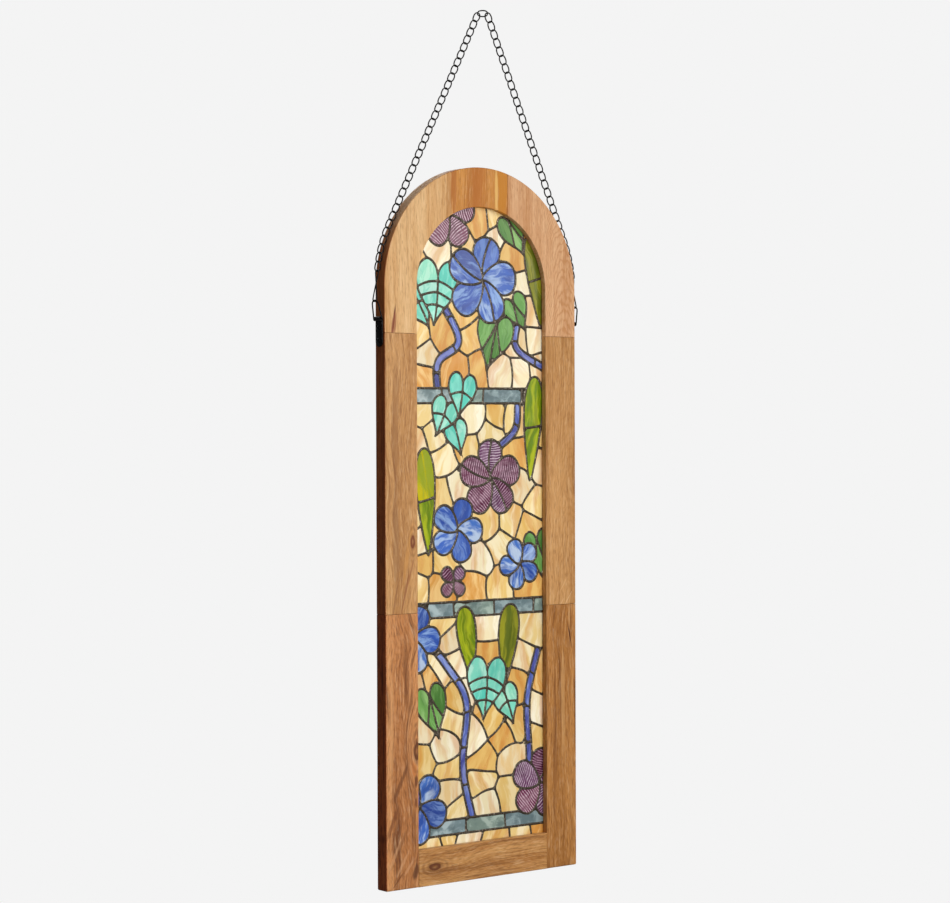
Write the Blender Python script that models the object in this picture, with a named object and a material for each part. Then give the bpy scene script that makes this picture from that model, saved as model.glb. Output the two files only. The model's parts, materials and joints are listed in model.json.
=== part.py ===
"""Arched stained glass panel in a wooden frame, hung from a chain.

Metres, +Z up. The origin is the point of the chain's top link that rests on the hook. X runs along the
panel's width, and the panel faces -Y. The chain and the frame's mid plane lie at y = 0.
"""

import math

import bmesh
import bpy
import numpy as np
from mathutils import Vector
from mathutils.geometry import delaunay_2d_cdt

# Wooden frame
FRAME_HEIGHT = 0.914
FRAME_WIDTH = 0.313
FRAME_THICKNESS = 0.0195
MEMBER_WIDTH = 0.0507
RAIL_HEIGHT = 0.0472
ARCH_TAIL = 0.0585
LOWER_JOINT_HEIGHT = 0.3466
ARCH_SEAM_X = 0.0425
OUTER_ROUNDING = 0.0012
INNER_CHAMFER = 0.0008
ARCH_STEPS = 28

# Glass panel
GLASS_THICKNESS = 0.003
GLASS_RECESS = 0.0091
SOLDER_WIDTH = 0.0026
SOLDER_THICKNESS = 0.005
PANEL_LIP = 0.005
RIM_WIDTH = 0.003
GROOVE_CLEARANCE = 0.001
OUTLINE_TOLERANCE = 0.001
CORNER_SWELL = 1.3
LEAST_LEAN = 0.15

# Hanging hardware
STRAP_WIDTH = 0.014
STRAP_THICKNESS = 0.0016
STRAP_LENGTH = 0.035
KNUCKLE_RISE = 0.0175
KNUCKLE_RADIUS = 0.0028
RING_WIRE = 0.0018
RING_WIDTH = 0.0192
RING_HEIGHT = 0.0255
RING_BASE_RADIUS = 0.0013
RING_TIP_RADIUS = 0.0065
RING_LEAN = math.radians(12)
HOOK_WIRE = 0.0016
HOOK_WIDTH = 0.0074
HOOK_RISE = 0.060
UPPER_SCREW_DROP = 0.0110
LOWER_SCREW_DROP = 0.0270
SCREW_HEAD_RADIUS = 0.0031
SCREW_HEAD_HEIGHT = 0.0013
SCREW_SHANK_RADIUS = 0.0015
SCREW_LENGTH = 0.013
SCREW_POINT = 0.002

# Chain
CHAIN_RISE = 0.2027
HANG_OFFSET = 0.0094
LINK_PITCH = 0.0115
LINK_LENGTH = 0.0143
LINK_WIDTH = 0.0092
LINK_WIRE = 0.00145
LINK_TWIST = 0.00045
TOP_LINK_TURN = math.radians(37.0)
STRAIGHT_SHARE = 0.7
RIM_GAP = 0.0006
LINK_SEGMENTS = 6
TOP_LINK_SEGMENTS = 10
WIRE_SIDES = 3
WIRE_SWELL = 1.2

CLEARANCE = 0.0003

HALF_WIDTH = FRAME_WIDTH / 2
OPENING_RADIUS = HALF_WIDTH - MEMBER_WIDTH
ARCH_CENTRE_HEIGHT = FRAME_HEIGHT - HALF_WIDTH
UPPER_JOINT_HEIGHT = ARCH_CENTRE_HEIGHT - ARCH_TAIL
KNUCKLE_HEIGHT = UPPER_JOINT_HEIGHT + KNUCKLE_RISE
STRAP_BOTTOM_HEIGHT = KNUCKLE_HEIGHT - STRAP_LENGTH
HOOK_TOP_HEIGHT = KNUCKLE_HEIGHT + HOOK_RISE
SCREW_HEIGHTS = {"upper": KNUCKLE_HEIGHT - UPPER_SCREW_DROP, "lower": KNUCKLE_HEIGHT - LOWER_SCREW_DROP}
PANEL_RADIUS = OPENING_RADIUS + PANEL_LIP
PANEL_FOOT_HEIGHT = RAIL_HEIGHT - PANEL_LIP
# Where the frame's bottom centre lies, seen from the hook
FRAME_X = -HANG_OFFSET
FRAME_Z = -(FRAME_HEIGHT + CHAIN_RISE)
FRONT_Y = -FRAME_THICKNESS / 2
BACK_Y = FRAME_THICKNESS / 2
GLASS_FRONT_Y = FRONT_Y + GLASS_RECESS
PANEL_MID_Y = GLASS_FRONT_Y + GLASS_THICKNESS / 2

# Colours and surface values: (red, green, blue), roughness, metallic
FINISHES = {
    "tan_wood": ((0.60, 0.40, 0.22), 0.45, 0.0),
    "solder": ((0.10, 0.085, 0.07), 0.4, 0.8),
    "black_steel": ((0.02, 0.02, 0.022), 0.4, 0.9),
    "cream": ((0.85, 0.74, 0.52), 0.2, 0.0),
    "blue": ((0.12, 0.22, 0.60), 0.2, 0.0),
    "teal": ((0.30, 0.70, 0.60), 0.2, 0.0),
    "green": ((0.20, 0.38, 0.12), 0.2, 0.0),
    "lime": ((0.30, 0.45, 0.02), 0.2, 0.0),
    "plum": ((0.28, 0.09, 0.18), 0.2, 0.0),
    "indigo": ((0.12, 0.14, 0.34), 0.2, 0.0),
    "slate": ((0.28, 0.36, 0.40), 0.2, 0.0),
}

# The design is drawn on a sheet of its own proportions, in half widths of the sheet's opening, and then
# fitted to the panel. Places are (half widths from the centre, share of the opening's height from its foot),
# sizes are half widths, turns are degrees clockwise, 0 pointing up.
SHEET_PROPORTION = 7.7136
SHEET_LIP_SHARE = 0.0473
BARS = [
    ("bar_top", 0.703),
    ("bar_middle", 0.368),
    ("bar_low", 0.027),
]
BAR_DEPTH = 0.18
# Group, points from top to foot, width
STEMS = [
    ("spray_arch_right", [(0.20, 0.86), (0.60, 0.83), (0.60, 0.78), (1.1, 0.745)], 0.09),
    ("spray_arch_left", [(-0.62, 0.86), (-0.30, 0.79), (-0.62, 0.755), (-0.62, 0.70)], 0.095),
    ("spray_middle", [(0.62, 0.70), (0.58, 0.65), (0.30, 0.62), (0.10, 0.585)], 0.09),
    ("spray_low_left", [(-0.86, 0.33), (-0.50, 0.28), (-0.20, 0.22), (-0.26, 0.12), (-0.10, 0.03)], 0.095),
    ("spray_low_right", [(0.94, 0.30), (0.76, 0.22), (0.78, 0.14), (0.80, 0.07)], 0.09),
]
# Group, colour, place of the stalk, length, width, turn
LONG_LEAVES = [
    ("spray_crown", "lime", (0.84, 0.965), 1.20, 0.30, 172),
    ("long_leaf_right", "lime", (0.90, 0.735), 1.30, 0.30, 184),
    ("long_leaf_left", "lime", (-0.84, 0.622), 1.30, 0.29, 177),
    ("long_leaf_lime", "lime", (-0.24, 0.372), 0.90, 0.30, 172),
    ("long_leaf_olive", "lime", (0.50, 0.372), 1.00, 0.32, 186),
]
HEART_LEAVES = [
    ("spray_arch_left", "teal", (-0.98, 0.860), 0.46, 0.52, 150),
    ("spray_arch_left", "teal", (-0.62, 0.890), 0.62, 0.66, 186),
    ("spray_arch_right", "green", (0.56, 0.850), 0.38, 0.40, 150),
    ("spray_arch_right", "green", (0.28, 0.812), 0.56, 0.58, 196),
    ("spray_crown", "green", (0.50, 0.978), 0.44, 0.42, 150),
    ("leaves_teal_middle", "teal", (-0.36, 0.652), 0.34, 0.36, 165),
    ("leaves_teal_middle", "teal", (-0.50, 0.684), 0.38, 0.42, 205),
    ("leaves_teal_middle", "teal", (-0.24, 0.722), 0.42, 0.44, 190),
    ("spray_right", "green", (0.92, 0.470), 0.46, 0.44, 170),
    ("leaves_teal_low", "teal", (0.40, 0.228), 0.40, 0.40, 160),
    ("leaves_teal_low", "teal", (0.12, 0.266), 0.60, 0.62, 186),
    ("leaf_green_low", "green", (-0.76, 0.232), 0.52, 0.48, 165),
]
# Group, colour, centre, radius, turn, petals
BLOSSOMS = [
    ("blossom_plum_crown", "plum", (-0.46, 0.985), 0.42, 0, 5),
    ("blossom_blue_arch", "blue", (0.06, 0.885), 0.54, 12, 5),
    ("spray_middle", "plum", (0.18, 0.572), 0.48, 0, 5),
    ("blossom_blue_left", "blue", (-0.34, 0.492), 0.40, 20, 5),
    ("spray_right", "blue", (0.64, 0.435), 0.32, 50, 5),
    ("blossom_plum_bud", "plum", (-0.40, 0.412), 0.22, 45, 4),
    ("spray_low_left", "blue", (-1.02, 0.325), 0.42, 22, 5),
    ("spray_low_right", "plum", (0.94, 0.080), 0.44, 10, 5),
    ("blossom_blue_foot", "blue", (-0.94, 0.062), 0.44, 36, 5),
]
GROUND = "ground_glass"
GROUND_TILE = 0.34
GROUND_PLATES = 9
SMALLEST_TILE = 0.016
SEED_LATTICE = 0.045
SEAM_BOW = 0.05
SHEET_RADIUS = 1 + SHEET_LIP_SHARE
SHEET_FOOT = -SHEET_LIP_SHARE
SHEET_ARCH_CENTRE = SHEET_PROPORTION - 1
STEM_STEP = 0.208
PETAL_STEPS = 8
HEART_STEPS = 12
LONG_LEAF_STEPS = 6


def place(spot):
    """A place of the design on its sheet."""
    return np.array([spot[0], spot[1] * SHEET_PROPORTION])


def turned(points, spot, turn):
    """Local outline points, +y up, turned clockwise by degrees and moved to their place."""
    angle = math.radians(turn)
    matrix = np.array([[math.cos(angle), -math.sin(angle)], [math.sin(angle), math.cos(angle)]])
    return np.asarray(points) @ matrix + place(spot)


def petal_outline(length, steps):
    """A round-ended drop that starts at the blossom's centre."""
    turn = np.linspace(0, 2 * math.pi, steps, endpoint=False)
    along = (1 - np.cos(turn)) / 2
    across = np.sin(turn) * (0.24 + 0.26 * along)
    return np.column_stack([across, along]) * length


def heart_outline(length, width, steps):
    """A heart leaf, its notch at the stalk and its tip at the length."""
    turn = np.linspace(0, 2 * math.pi, steps, endpoint=False)
    across = np.sin(turn) ** 3
    fall = 13 * np.cos(turn) - 5 * np.cos(2 * turn) - 2 * np.cos(3 * turn) - np.cos(4 * turn)
    return np.column_stack([across * width / 2, (5 - fall) / 22 * length])


def long_leaf_outline(length, width, steps):
    """A long leaf, blunt at its stalk and pointed at its tip."""
    share = (1 - np.cos(np.linspace(0, math.pi, steps))) / 2
    half = 1.05 * width * np.sqrt(share * (1 - share)) * (1.35 - share)
    side = np.column_stack([half, share * length])
    return np.vstack([side, side[-2:0:-1] * [-1, 1]])


def smooth_line(points, step):
    """A curve through the points, which passes each with the direction of its neighbours."""
    points = np.asarray(points, dtype=float)
    ends = np.vstack([2 * points[0] - points[1], points, 2 * points[-1] - points[-2]])
    curve = []
    for before, start, end, after in zip(ends, ends[1:], ends[2:], ends[3:]):
        count = max(2, round(np.linalg.norm(end - start) / step))
        share = np.linspace(0, 1, count, endpoint=False)[:, None]
        curve.append(0.5 * (2 * start + (end - before) * share
                            + (2 * before - 5 * start + 4 * end - after) * share ** 2
                            + (3 * start - before - 3 * end + after) * share ** 3))
    return np.vstack(curve + [points[-1:]])


def ribbon(line, width):
    """A strip of even width along a line."""
    along = np.gradient(line, axis=0)
    along /= np.linalg.norm(along, axis=1)[:, None]
    side = along[:, ::-1] * [-1, 1] * width / 2
    return np.vstack([line + side, (line - side)[::-1]])


def arched_outline(radius, centre_height, foot):
    """A round arch over straight sides."""
    turn = np.linspace(0, math.pi, ARCH_STEPS + 1)
    arch = np.column_stack([radius * np.cos(turn), centre_height + radius * np.sin(turn)])
    return np.vstack([arch, [(-radius, foot), (radius, foot)]])


def panel_outline(margin):
    """The panel's outline moved outward by a margin, from the frame's bottom centre."""
    return arched_outline(PANEL_RADIUS + margin, ARCH_CENTRE_HEIGHT, PANEL_FOOT_HEIGHT - margin)


def on_panel(points):
    """Points of the sheet fitted to the panel: the arch keeps its round form, the straight part below it
    takes the panel's length."""
    x, y = np.asarray(points).T
    across = PANEL_RADIUS / SHEET_RADIUS
    along = (ARCH_CENTRE_HEIGHT - PANEL_FOOT_HEIGHT) / (SHEET_ARCH_CENTRE - SHEET_FOOT)
    rise = y - SHEET_ARCH_CENTRE
    return np.column_stack([x * across, ARCH_CENTRE_HEIGHT + rise * np.where(rise > 0, across, along)])


def design_shapes():
    """Every motif outline from the lowest to the topmost, as (group, colour, points)."""
    shapes = []
    for name, points, width in STEMS:
        line = smooth_line([place(spot) for spot in points], STEM_STEP)
        shapes.append((name, "indigo", ribbon(line, width)))
    for name, height in BARS:
        half = BAR_DEPTH / 2
        corners = [(-1.2, -half), (1.2, -half), (1.2, half), (-1.2, half)]
        shapes.append((name, "slate", turned(corners, (0, height), 0)))
    for name, colour, spot, length, width, turn in LONG_LEAVES:
        shapes.append((name, colour, turned(long_leaf_outline(length, width, LONG_LEAF_STEPS), spot, turn)))
    for name, colour, spot, length, width, turn in HEART_LEAVES:
        shapes.append((name, colour, turned(heart_outline(length, width, HEART_STEPS), spot, turn)))
    for name, colour, spot, radius, turn, petals in BLOSSOMS:
        for petal in range(petals):
            outline = petal_outline(radius, PETAL_STEPS)
            shapes.append((name, colour, turned(outline, spot, turn + 360 / petals * petal)))
    return shapes


def area(points):
    """Signed area of a ring, positive when it turns left."""
    x, y = np.asarray(points).T
    return 0.5 * float(np.sum(x * np.roll(y, -1) - y * np.roll(x, -1)))


def triangulate(outlines, lines):
    """Triangles of the whole plane cut by closed outlines and open lines.

    Returns the points, the triangles, the outlines that hold each triangle, and the edges that lie on a
    line."""
    points = []
    faces = []
    for outline in outlines:
        faces.append(list(range(len(points), len(points) + len(outline))))
        points.extend(outline if area(outline) > 0 else outline[::-1])
    edges = []
    for line in lines:
        first = len(points)
        edges.extend((first + i, first + i + 1) for i in range(len(line) - 1))
        points.extend(line)
    found = delaunay_2d_cdt([Vector(p) for p in points], edges, faces, 0, 1e-7, True)
    corners = np.array([tuple(p) for p in found[0]])
    on_line = {tuple(sorted(edge)) for edge, origin in zip(found[1], found[4])
               if any(number < len(edges) for number in origin)}
    return corners, found[2], mended_holders(outlines, corners, found[2], found[5]), on_line


def mended_holders(outlines, corners, triangles, holders):
    """The outlines that hold each triangle. An outline whose triangles cover more or less than its own
    area is looked up again, from the triangles' middles."""
    spots = corners[np.array(triangles)]
    one, other = spots[:, 1] - spots[:, 0], spots[:, 2] - spots[:, 0]
    sizes = np.abs(one[:, 0] * other[:, 1] - one[:, 1] * other[:, 0]) / 2
    covered = np.zeros(len(outlines))
    for size, held in zip(sizes, holders):
        covered[held] += size
    wanted = np.array([abs(area(outline)) for outline in outlines])
    wrong = np.flatnonzero(np.abs(covered - wanted) > 0.01 * wanted)
    mended = [[number for number in held if number not in set(wrong)] for held in holders]
    for number in wrong:
        for triangle in np.flatnonzero(inside(spots.mean(1), outlines[number])):
            mended[triangle].append(int(number))
    return [sorted(held) for held in mended]


def visible_labels(shapes, holders):
    """The topmost motif over each triangle, the ground inside the panel's edge, or nothing outside."""
    labels = []
    for held in holders:
        motifs = [number - 1 for number in held if number > 0]
        if 0 not in held:
            labels.append(None)
        elif motifs:
            labels.append(shapes[max(motifs)][0])
        else:
            labels.append(GROUND)
    return labels


def ground_seeds(shapes, outline):
    """Centres of the ground tiles: lattice points clear of the motifs, drawn to even spacing.

    A point joins if it is a tile away from the others; then each centre moves to the middle of the
    lattice points nearest to it, several times."""
    low, high = outline.min(0), outline.max(0)
    across, up = np.meshgrid(np.arange(low[0], high[0], SEED_LATTICE),
                             np.arange(low[1], high[1], SEED_LATTICE))
    lattice = np.column_stack([across.ravel(), up.ravel()])
    free = inside(lattice, outline)
    for shape in shapes:
        free &= ~inside(lattice, shape[2])
    lattice = lattice[free]
    order = np.random.default_rng(7).permutation(len(lattice))
    seeds = []
    for spot in lattice[order]:
        if all(np.hypot(*(spot - other)) > GROUND_TILE for other in seeds):
            seeds.append(spot)
    seeds = np.array(seeds)
    for _ in range(6):
        nearest = np.argmin(np.linalg.norm(lattice[:, None] - seeds[None], axis=2), axis=1)
        seeds = np.array([lattice[nearest == i].mean(0) for i in range(len(seeds))])
    return seeds


def inside(points, ring):
    """Which points lie inside a closed ring."""
    x, y = points.T
    held = np.zeros(len(points), dtype=bool)
    for (x0, y0), (x1, y1) in zip(ring, np.roll(ring, -1, axis=0)):
        if y0 == y1:
            continue
        crosses = (y0 > y) != (y1 > y)
        held ^= crosses & (x < (x1 - x0) * (y - y0) / (y1 - y0) + x0)
    return held


def ground_seams(seeds, outline):
    """Slightly bowed lines halfway between neighbouring seeds, the edges of their nearest-point cells."""
    centre = (outline.min(0) + outline.max(0)) / 2
    reach = 2 * (outline.max(0) - outline.min(0))
    turn = np.linspace(0, 2 * math.pi, 24, endpoint=False)
    guard = centre + np.column_stack([np.cos(turn), np.sin(turn)]) * reach
    corners, triangles, _, _ = triangulate([], [[p] for p in np.vstack([seeds, guard])])
    hubs = []
    sides = {}
    for number, triangle in enumerate(triangles):
        a, b, c = corners[triangle]
        system = 2 * np.array([b - a, c - a])
        hubs.append(np.linalg.solve(system, [b @ b - a @ a, c @ c - a @ a]))
        for i in range(3):
            sides.setdefault(tuple(sorted((triangle[i], triangle[i - 1]))), []).append(number)
    seams = []
    for pair in sorted(sides):
        if len(sides[pair]) == 2:
            start, end = (hubs[number] for number in sides[pair])
            bow = (end - start)[::-1] * [-1, 1] * SEAM_BOW * math.cos(3 * len(seams))
            seams.append([start, (start + end) / 2 + bow, end])
    return seams


def patches_of(triangles, labels, blocked):
    """Numbers the patches of equal label. A blocked edge parts two ground triangles."""
    sides = {}
    for number, triangle in enumerate(triangles):
        for i in range(3):
            sides.setdefault(tuple(sorted((triangle[i], triangle[i - 1]))), []).append(number)
    links = [[] for _ in triangles]
    for edge, pair in sides.items():
        if len(pair) < 2 or labels[pair[0]] != labels[pair[1]]:
            continue
        if edge in blocked and labels[pair[0]] == GROUND:
            continue
        links[pair[0]].append(pair[1])
        links[pair[1]].append(pair[0])
    patch = np.full(len(triangles), -1)
    count = 0
    for start in range(len(triangles)):
        if patch[start] >= 0 or labels[start] is None:
            continue
        waiting = [start]
        patch[start] = count
        while waiting:
            for other in links[waiting.pop()]:
                if patch[other] < 0:
                    patch[other] = count
                    waiting.append(other)
        count += 1
    return patch, sides


def rings(triangles):
    """Closed boundary rings of a set of triangles that all turn the same way."""
    edges = {(t[i], t[(i + 1) % 3]) for t in triangles for i in range(3)}
    following = {}
    for start, end in sorted(edges):
        if (end, start) not in edges:
            following.setdefault(start, []).append(end)
    found = []
    while following:
        ring = [min(following)]
        while True:
            ends = following[ring[-1]]
            end = ends.pop()
            if not ends:
                del following[ring[-1]]
            if end == ring[0]:
                break
            ring.append(end)
        found.append(ring)
    return found


def joined_ground(corners, triangles, labels, patch, sides, smallest, plates):
    """Joins each ground patch smaller than the smallest size to its neighbour along the longest seam, then
    the smallest ones on, where they stay without a hole, until only the wanted number of plates is left."""
    sizes = {}
    members = {}
    for number, own in enumerate(patch):
        if labels[number] == GROUND:
            sizes[own] = sizes.get(own, 0) + abs(area(corners[triangles[number]]))
            members.setdefault(own, []).append(number)
    shared = {}
    for (first, last), pair in sides.items():
        if len(pair) == 2 and patch[pair[0]] != patch[pair[1]]:
            one, other = patch[pair[0]], patch[pair[1]]
            if one in sizes and other in sizes:
                length = np.linalg.norm(corners[first] - corners[last])
                shared.setdefault(one, {}).setdefault(other, 0)
                shared.setdefault(other, {}).setdefault(one, 0)
                shared[one][other] += length
                shared[other][one] += length
    final = set()
    while True:
        waiting = [own for own in sizes if own not in final]
        if not waiting or (len(sizes) <= plates and min(sizes.values()) > smallest):
            break
        own = min(waiting, key=lambda number: (sizes[number], number))
        others = sorted(shared.get(own, {}), key=lambda number: -shared[own][number])
        chosen = None
        for other in others:
            union = [triangles[number] for number in members[own] + members[other]]
            if sizes[own] < smallest or len(rings(union)) == 1:
                chosen = other
                break
        if chosen is None:
            final.add(own)
            continue
        for number in members.pop(own):
            patch[number] = chosen
            members[chosen].append(number)
        sizes[chosen] += sizes.pop(own)
        for other, length in shared.pop(own).items():
            shared[other].pop(own)
            if other != chosen:
                shared[chosen][other] = shared[chosen].get(other, 0) + length
                shared[other][chosen] = shared[other].get(chosen, 0) + length
        final -= {chosen}
    return patch


def glass_regions():
    """The glass plates as a list of (name, colour, triangles), with the points they share."""
    shapes = design_shapes()
    outline = arched_outline(SHEET_RADIUS, SHEET_ARCH_CENTRE, SHEET_FOOT)
    seams = ground_seams(ground_seeds(shapes, outline), outline)
    corners, triangles, holders, on_seam = triangulate([outline] + [s[2] for s in shapes], seams)
    labels = visible_labels(shapes, holders)
    patch, sides = patches_of(triangles, labels, on_seam)
    joined_ground(corners, triangles, labels, patch, sides, SMALLEST_TILE, GROUND_PLATES)
    colours = {shape[0]: shape[1] for shape in shapes}
    found = {}
    for own in range(patch.max() + 1):
        members = np.flatnonzero(patch == own)
        size = sum(abs(area(corners[triangles[number]])) for number in members)
        if size > SMALLEST_TILE:
            found.setdefault(labels[members[0]], []).append([triangles[number] for number in members])
    plates = []
    for name, pieces in found.items():
        pieces.sort(key=lambda piece: tuple(corners[piece[0][0]]))
        for number, piece in enumerate(pieces, start=1):
            own_name = name if len(pieces) == 1 else f"{name}_{number}"
            plates.append((own_name, colours.get(name, "cream"), piece))
    return on_panel(corners), plates


def line_strips(starts, ends, half):
    """A closed strip around each line, with an eight-sided disc at its start."""
    turn = np.linspace(0, 2 * math.pi, 8, endpoint=False) + math.pi / 8
    disc = np.column_stack([np.cos(turn), np.sin(turn)]) * half
    strips = []
    for start, end in zip(starts, ends):
        along = (end - start) / np.linalg.norm(end - start)
        side = np.array([-along[1], along[0]]) * half
        strips.append(np.array([start - side, end - side, end + side, start + side]))
        strips.append(start + disc)
    return strips


def corner_is_empty(points, i):
    """Whether no other point of a ring lies in the triangle of a point and its two neighbours."""
    count = len(points)
    corner = np.array([points[i - 1], points[i], points[(i + 1) % count]])
    others = np.array([points[j] for j in range(count) if j not in ((i - 1) % count, i, (i + 1) % count)])
    middle = corner.mean(0)
    return not inside(others, middle + (corner - middle) * CORNER_SWELL).any()


def simplified(ring, tolerance):
    """A closed ring without the points that lie within the tolerance of a straight run. A point stays if
    another one lies in the corner that it makes, so that the ring never crosses itself."""
    points = [np.asarray(p) for p in ring]
    spare = 0
    while spare is not None and len(points) > 4:
        strays = []
        for i, point in enumerate(points):
            before, after = points[i - 1], points[(i + 1) % len(points)]
            run = after - before
            length = max(np.linalg.norm(run), 1e-9)
            off = abs(run[0] * (point - before)[1] - run[1] * (point - before)[0]) / length
            near = np.linalg.norm(point - before)
            strays.append(min(off, near / 3))
        spare = None
        for i in np.argsort(strays, kind="stable"):
            if strays[i] >= tolerance:
                break
            if corner_is_empty(points, int(i)):
                spare = int(i)
                break
        if spare is not None:
            points.pop(spare)
    return np.array(points)


def outset(ring, distance):
    """A left-turning ring moved outward by a small distance."""
    before = np.roll(ring, 1, axis=0)
    after = np.roll(ring, -1, axis=0)
    first = (ring - before) / np.linalg.norm(ring - before, axis=1)[:, None]
    second = (after - ring) / np.linalg.norm(after - ring, axis=1)[:, None]
    outward = (first + second)[:, ::-1] * [1, -1]
    lean = 1 + np.sum(first * second, axis=1)
    return ring + outward * (distance / np.maximum(lean, LEAST_LEAN))[:, None]


def glass_outlines(corners, plates):
    """The outline of each glass plate, drawn back by half a solder line and the clearance to its hole."""
    outlines = [max((corners[ring] for ring in rings(triangles)), key=area) for _, _, triangles in plates]
    edge = panel_outline(0)
    starts = np.vstack(outlines)
    ends = np.vstack([np.roll(outline, -1, axis=0) for outline in outlines])
    strips = line_strips(starts, ends, SOLDER_WIDTH / 2 + CLEARANCE)
    strips += line_strips(edge, np.roll(edge, -1, axis=0), RIM_WIDTH + CLEARANCE)
    points, triangles, holders, _ = triangulate(outlines + strips, [])
    labels = [held[0] if len(held) == 1 and held[0] < len(plates) else None for held in holders]
    patch, _ = patches_of(triangles, labels, set())
    largest = {}
    for own in range(patch.max() + 1):
        members = np.flatnonzero(patch == own)
        size = sum(abs(area(points[triangles[number]])) for number in members)
        label = labels[members[0]]
        if size > largest.get(label, (0, None))[0]:
            largest[label] = (size, [triangles[number] for number in members])
    drawn = {}
    for label, (size, piece) in sorted(largest.items()):
        if size > SMALLEST_TILE * (PANEL_RADIUS / SHEET_RADIUS) ** 2 / 3:
            outer = max((points[ring] for ring in rings(piece)), key=area)
            drawn[plates[label][0]] = simplified(outer, OUTLINE_TOLERANCE)
    return drawn


def material(finish):
    """The Principled material of a finish, made once."""
    if finish in bpy.data.materials:
        return bpy.data.materials[finish]
    colour, roughness, metallic = FINISHES[finish]
    made = bpy.data.materials.new(finish)
    made.use_nodes = True
    shader = made.node_tree.nodes["Principled BSDF"]
    shader.inputs["Base Color"].default_value = (*colour, 1)
    shader.inputs["Roughness"].default_value = roughness
    shader.inputs["Metallic"].default_value = metallic
    return made


def add_object(name, finish, points, faces):
    """A mesh object of one sub-part, from points and faces in the row's frame."""
    mesh = bpy.data.meshes.new(name)
    mesh.from_pydata([tuple(p) for p in points], [], [tuple(int(i) for i in face) for face in faces])
    shape = bmesh.new()
    shape.from_mesh(mesh)
    bmesh.ops.recalc_face_normals(shape, faces=shape.faces)
    bmesh.ops.triangulate(shape, faces=shape.faces)
    shape.to_mesh(mesh)
    shape.free()
    mesh.materials.append(material(finish))
    made = bpy.data.objects.new(name, mesh)
    bpy.context.scene.collection.objects.link(made)
    return made


def cutter(name, points, faces):
    """A hidden solid that only cuts or joins others."""
    made = add_object(name, "black_steel", points, faces)
    made.hide_render = True
    made.display_type = "WIRE"
    return made


def combine(target, other, operation):
    """Cuts one object with another, or joins it on."""
    change = target.modifiers.new(other.name, "BOOLEAN")
    change.operation = operation
    change.solver = "EXACT"
    change.object = other


def in_row(x, y, z):
    """A point given from the frame's bottom centre, in the row's frame."""
    return (x + FRAME_X, y, z + FRAME_Z)


def lofted(sections):
    """Points and faces of a closed solid through equal rings of points, capped at both ends."""
    count = len(sections[0])
    points = [p for section in sections for p in section]
    faces = [range(count), range(len(points) - count, len(points))]
    for first in range(0, len(points) - count, count):
        for i in range(count):
            j = (i + 1) % count
            faces.append((first + i, first + j, first + count + j, first + count + i))
    return points, faces


def looped_tube(line, radius, sides, flat_normal):
    """Points and faces of a round wire along a closed line."""
    line = np.asarray(line)
    along = np.roll(line, -1, axis=0) - np.roll(line, 1, axis=0)
    along /= np.linalg.norm(along, axis=1)[:, None]
    out = np.cross(along, flat_normal)
    out /= np.linalg.norm(out, axis=1)[:, None]
    up = np.cross(along, out)
    turn = np.linspace(0, 2 * math.pi, sides, endpoint=False)
    ring = out[:, None] * np.cos(turn)[:, None] + up[:, None] * np.sin(turn)[:, None]
    points = (line[:, None] + ring * radius).reshape(-1, 3)
    faces = []
    for station in range(len(line)):
        follower = (station + 1) % len(line)
        for i in range(sides):
            j = (i + 1) % sides
            faces.append((station * sides + i, station * sides + j,
                          follower * sides + j, follower * sides + i))
    return points, faces


def plate(outer, holes, back, front):
    """Points and faces of a flat plate with holes, between two depths."""
    loops = [outer] + holes
    corners, triangles, holders, _ = triangulate(loops, [])
    kept = [t for t, held in zip(triangles, holders) if held == [0]]
    count = len(corners)
    points = [in_row(x, depth, z) for depth in (front, back) for x, z in corners]
    faces = [tuple(t) for t in kept] + [tuple(i + count for i in t) for t in kept]
    for ring in rings(kept):
        for start, end in zip(ring, ring[1:] + ring[:1]):
            faces.append((start, end, end + count, start + count))
    return points, faces


def build_panel():
    """The solder net and the glass plates in its holes."""
    corners, plates = glass_regions()
    glass = glass_outlines(corners, plates)
    holes = [outset(outline, CLEARANCE) for outline in glass.values()]
    half = SOLDER_THICKNESS / 2
    net = plate(panel_outline(0), holes, PANEL_MID_Y + half, PANEL_MID_Y - half)
    add_object("solder_net", "solder", *net)
    back = GLASS_FRONT_Y + GLASS_THICKNESS
    for name, colour, _ in plates:
        if name in glass:
            add_object(name, colour, *plate(glass[name], [], back, GLASS_FRONT_Y))


def member_profile(inner, outer):
    """A frame member's section as (distance from the middle, depth), its outer edges rounded."""
    chamfer = INNER_CHAMFER
    profile = [(inner, FRONT_Y + chamfer), (inner + chamfer, FRONT_Y)]
    for edge, first in ((FRONT_Y + OUTER_ROUNDING, -90), (BACK_Y - OUTER_ROUNDING, 0)):
        for turn in (first, first + 45, first + 90):
            angle = math.radians(turn)
            profile.append((outer - OUTER_ROUNDING + OUTER_ROUNDING * math.cos(angle),
                            edge + OUTER_ROUNDING * math.sin(angle)))
    return profile + [(inner + chamfer, BACK_Y), (inner, BACK_Y - chamfer)]


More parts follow.
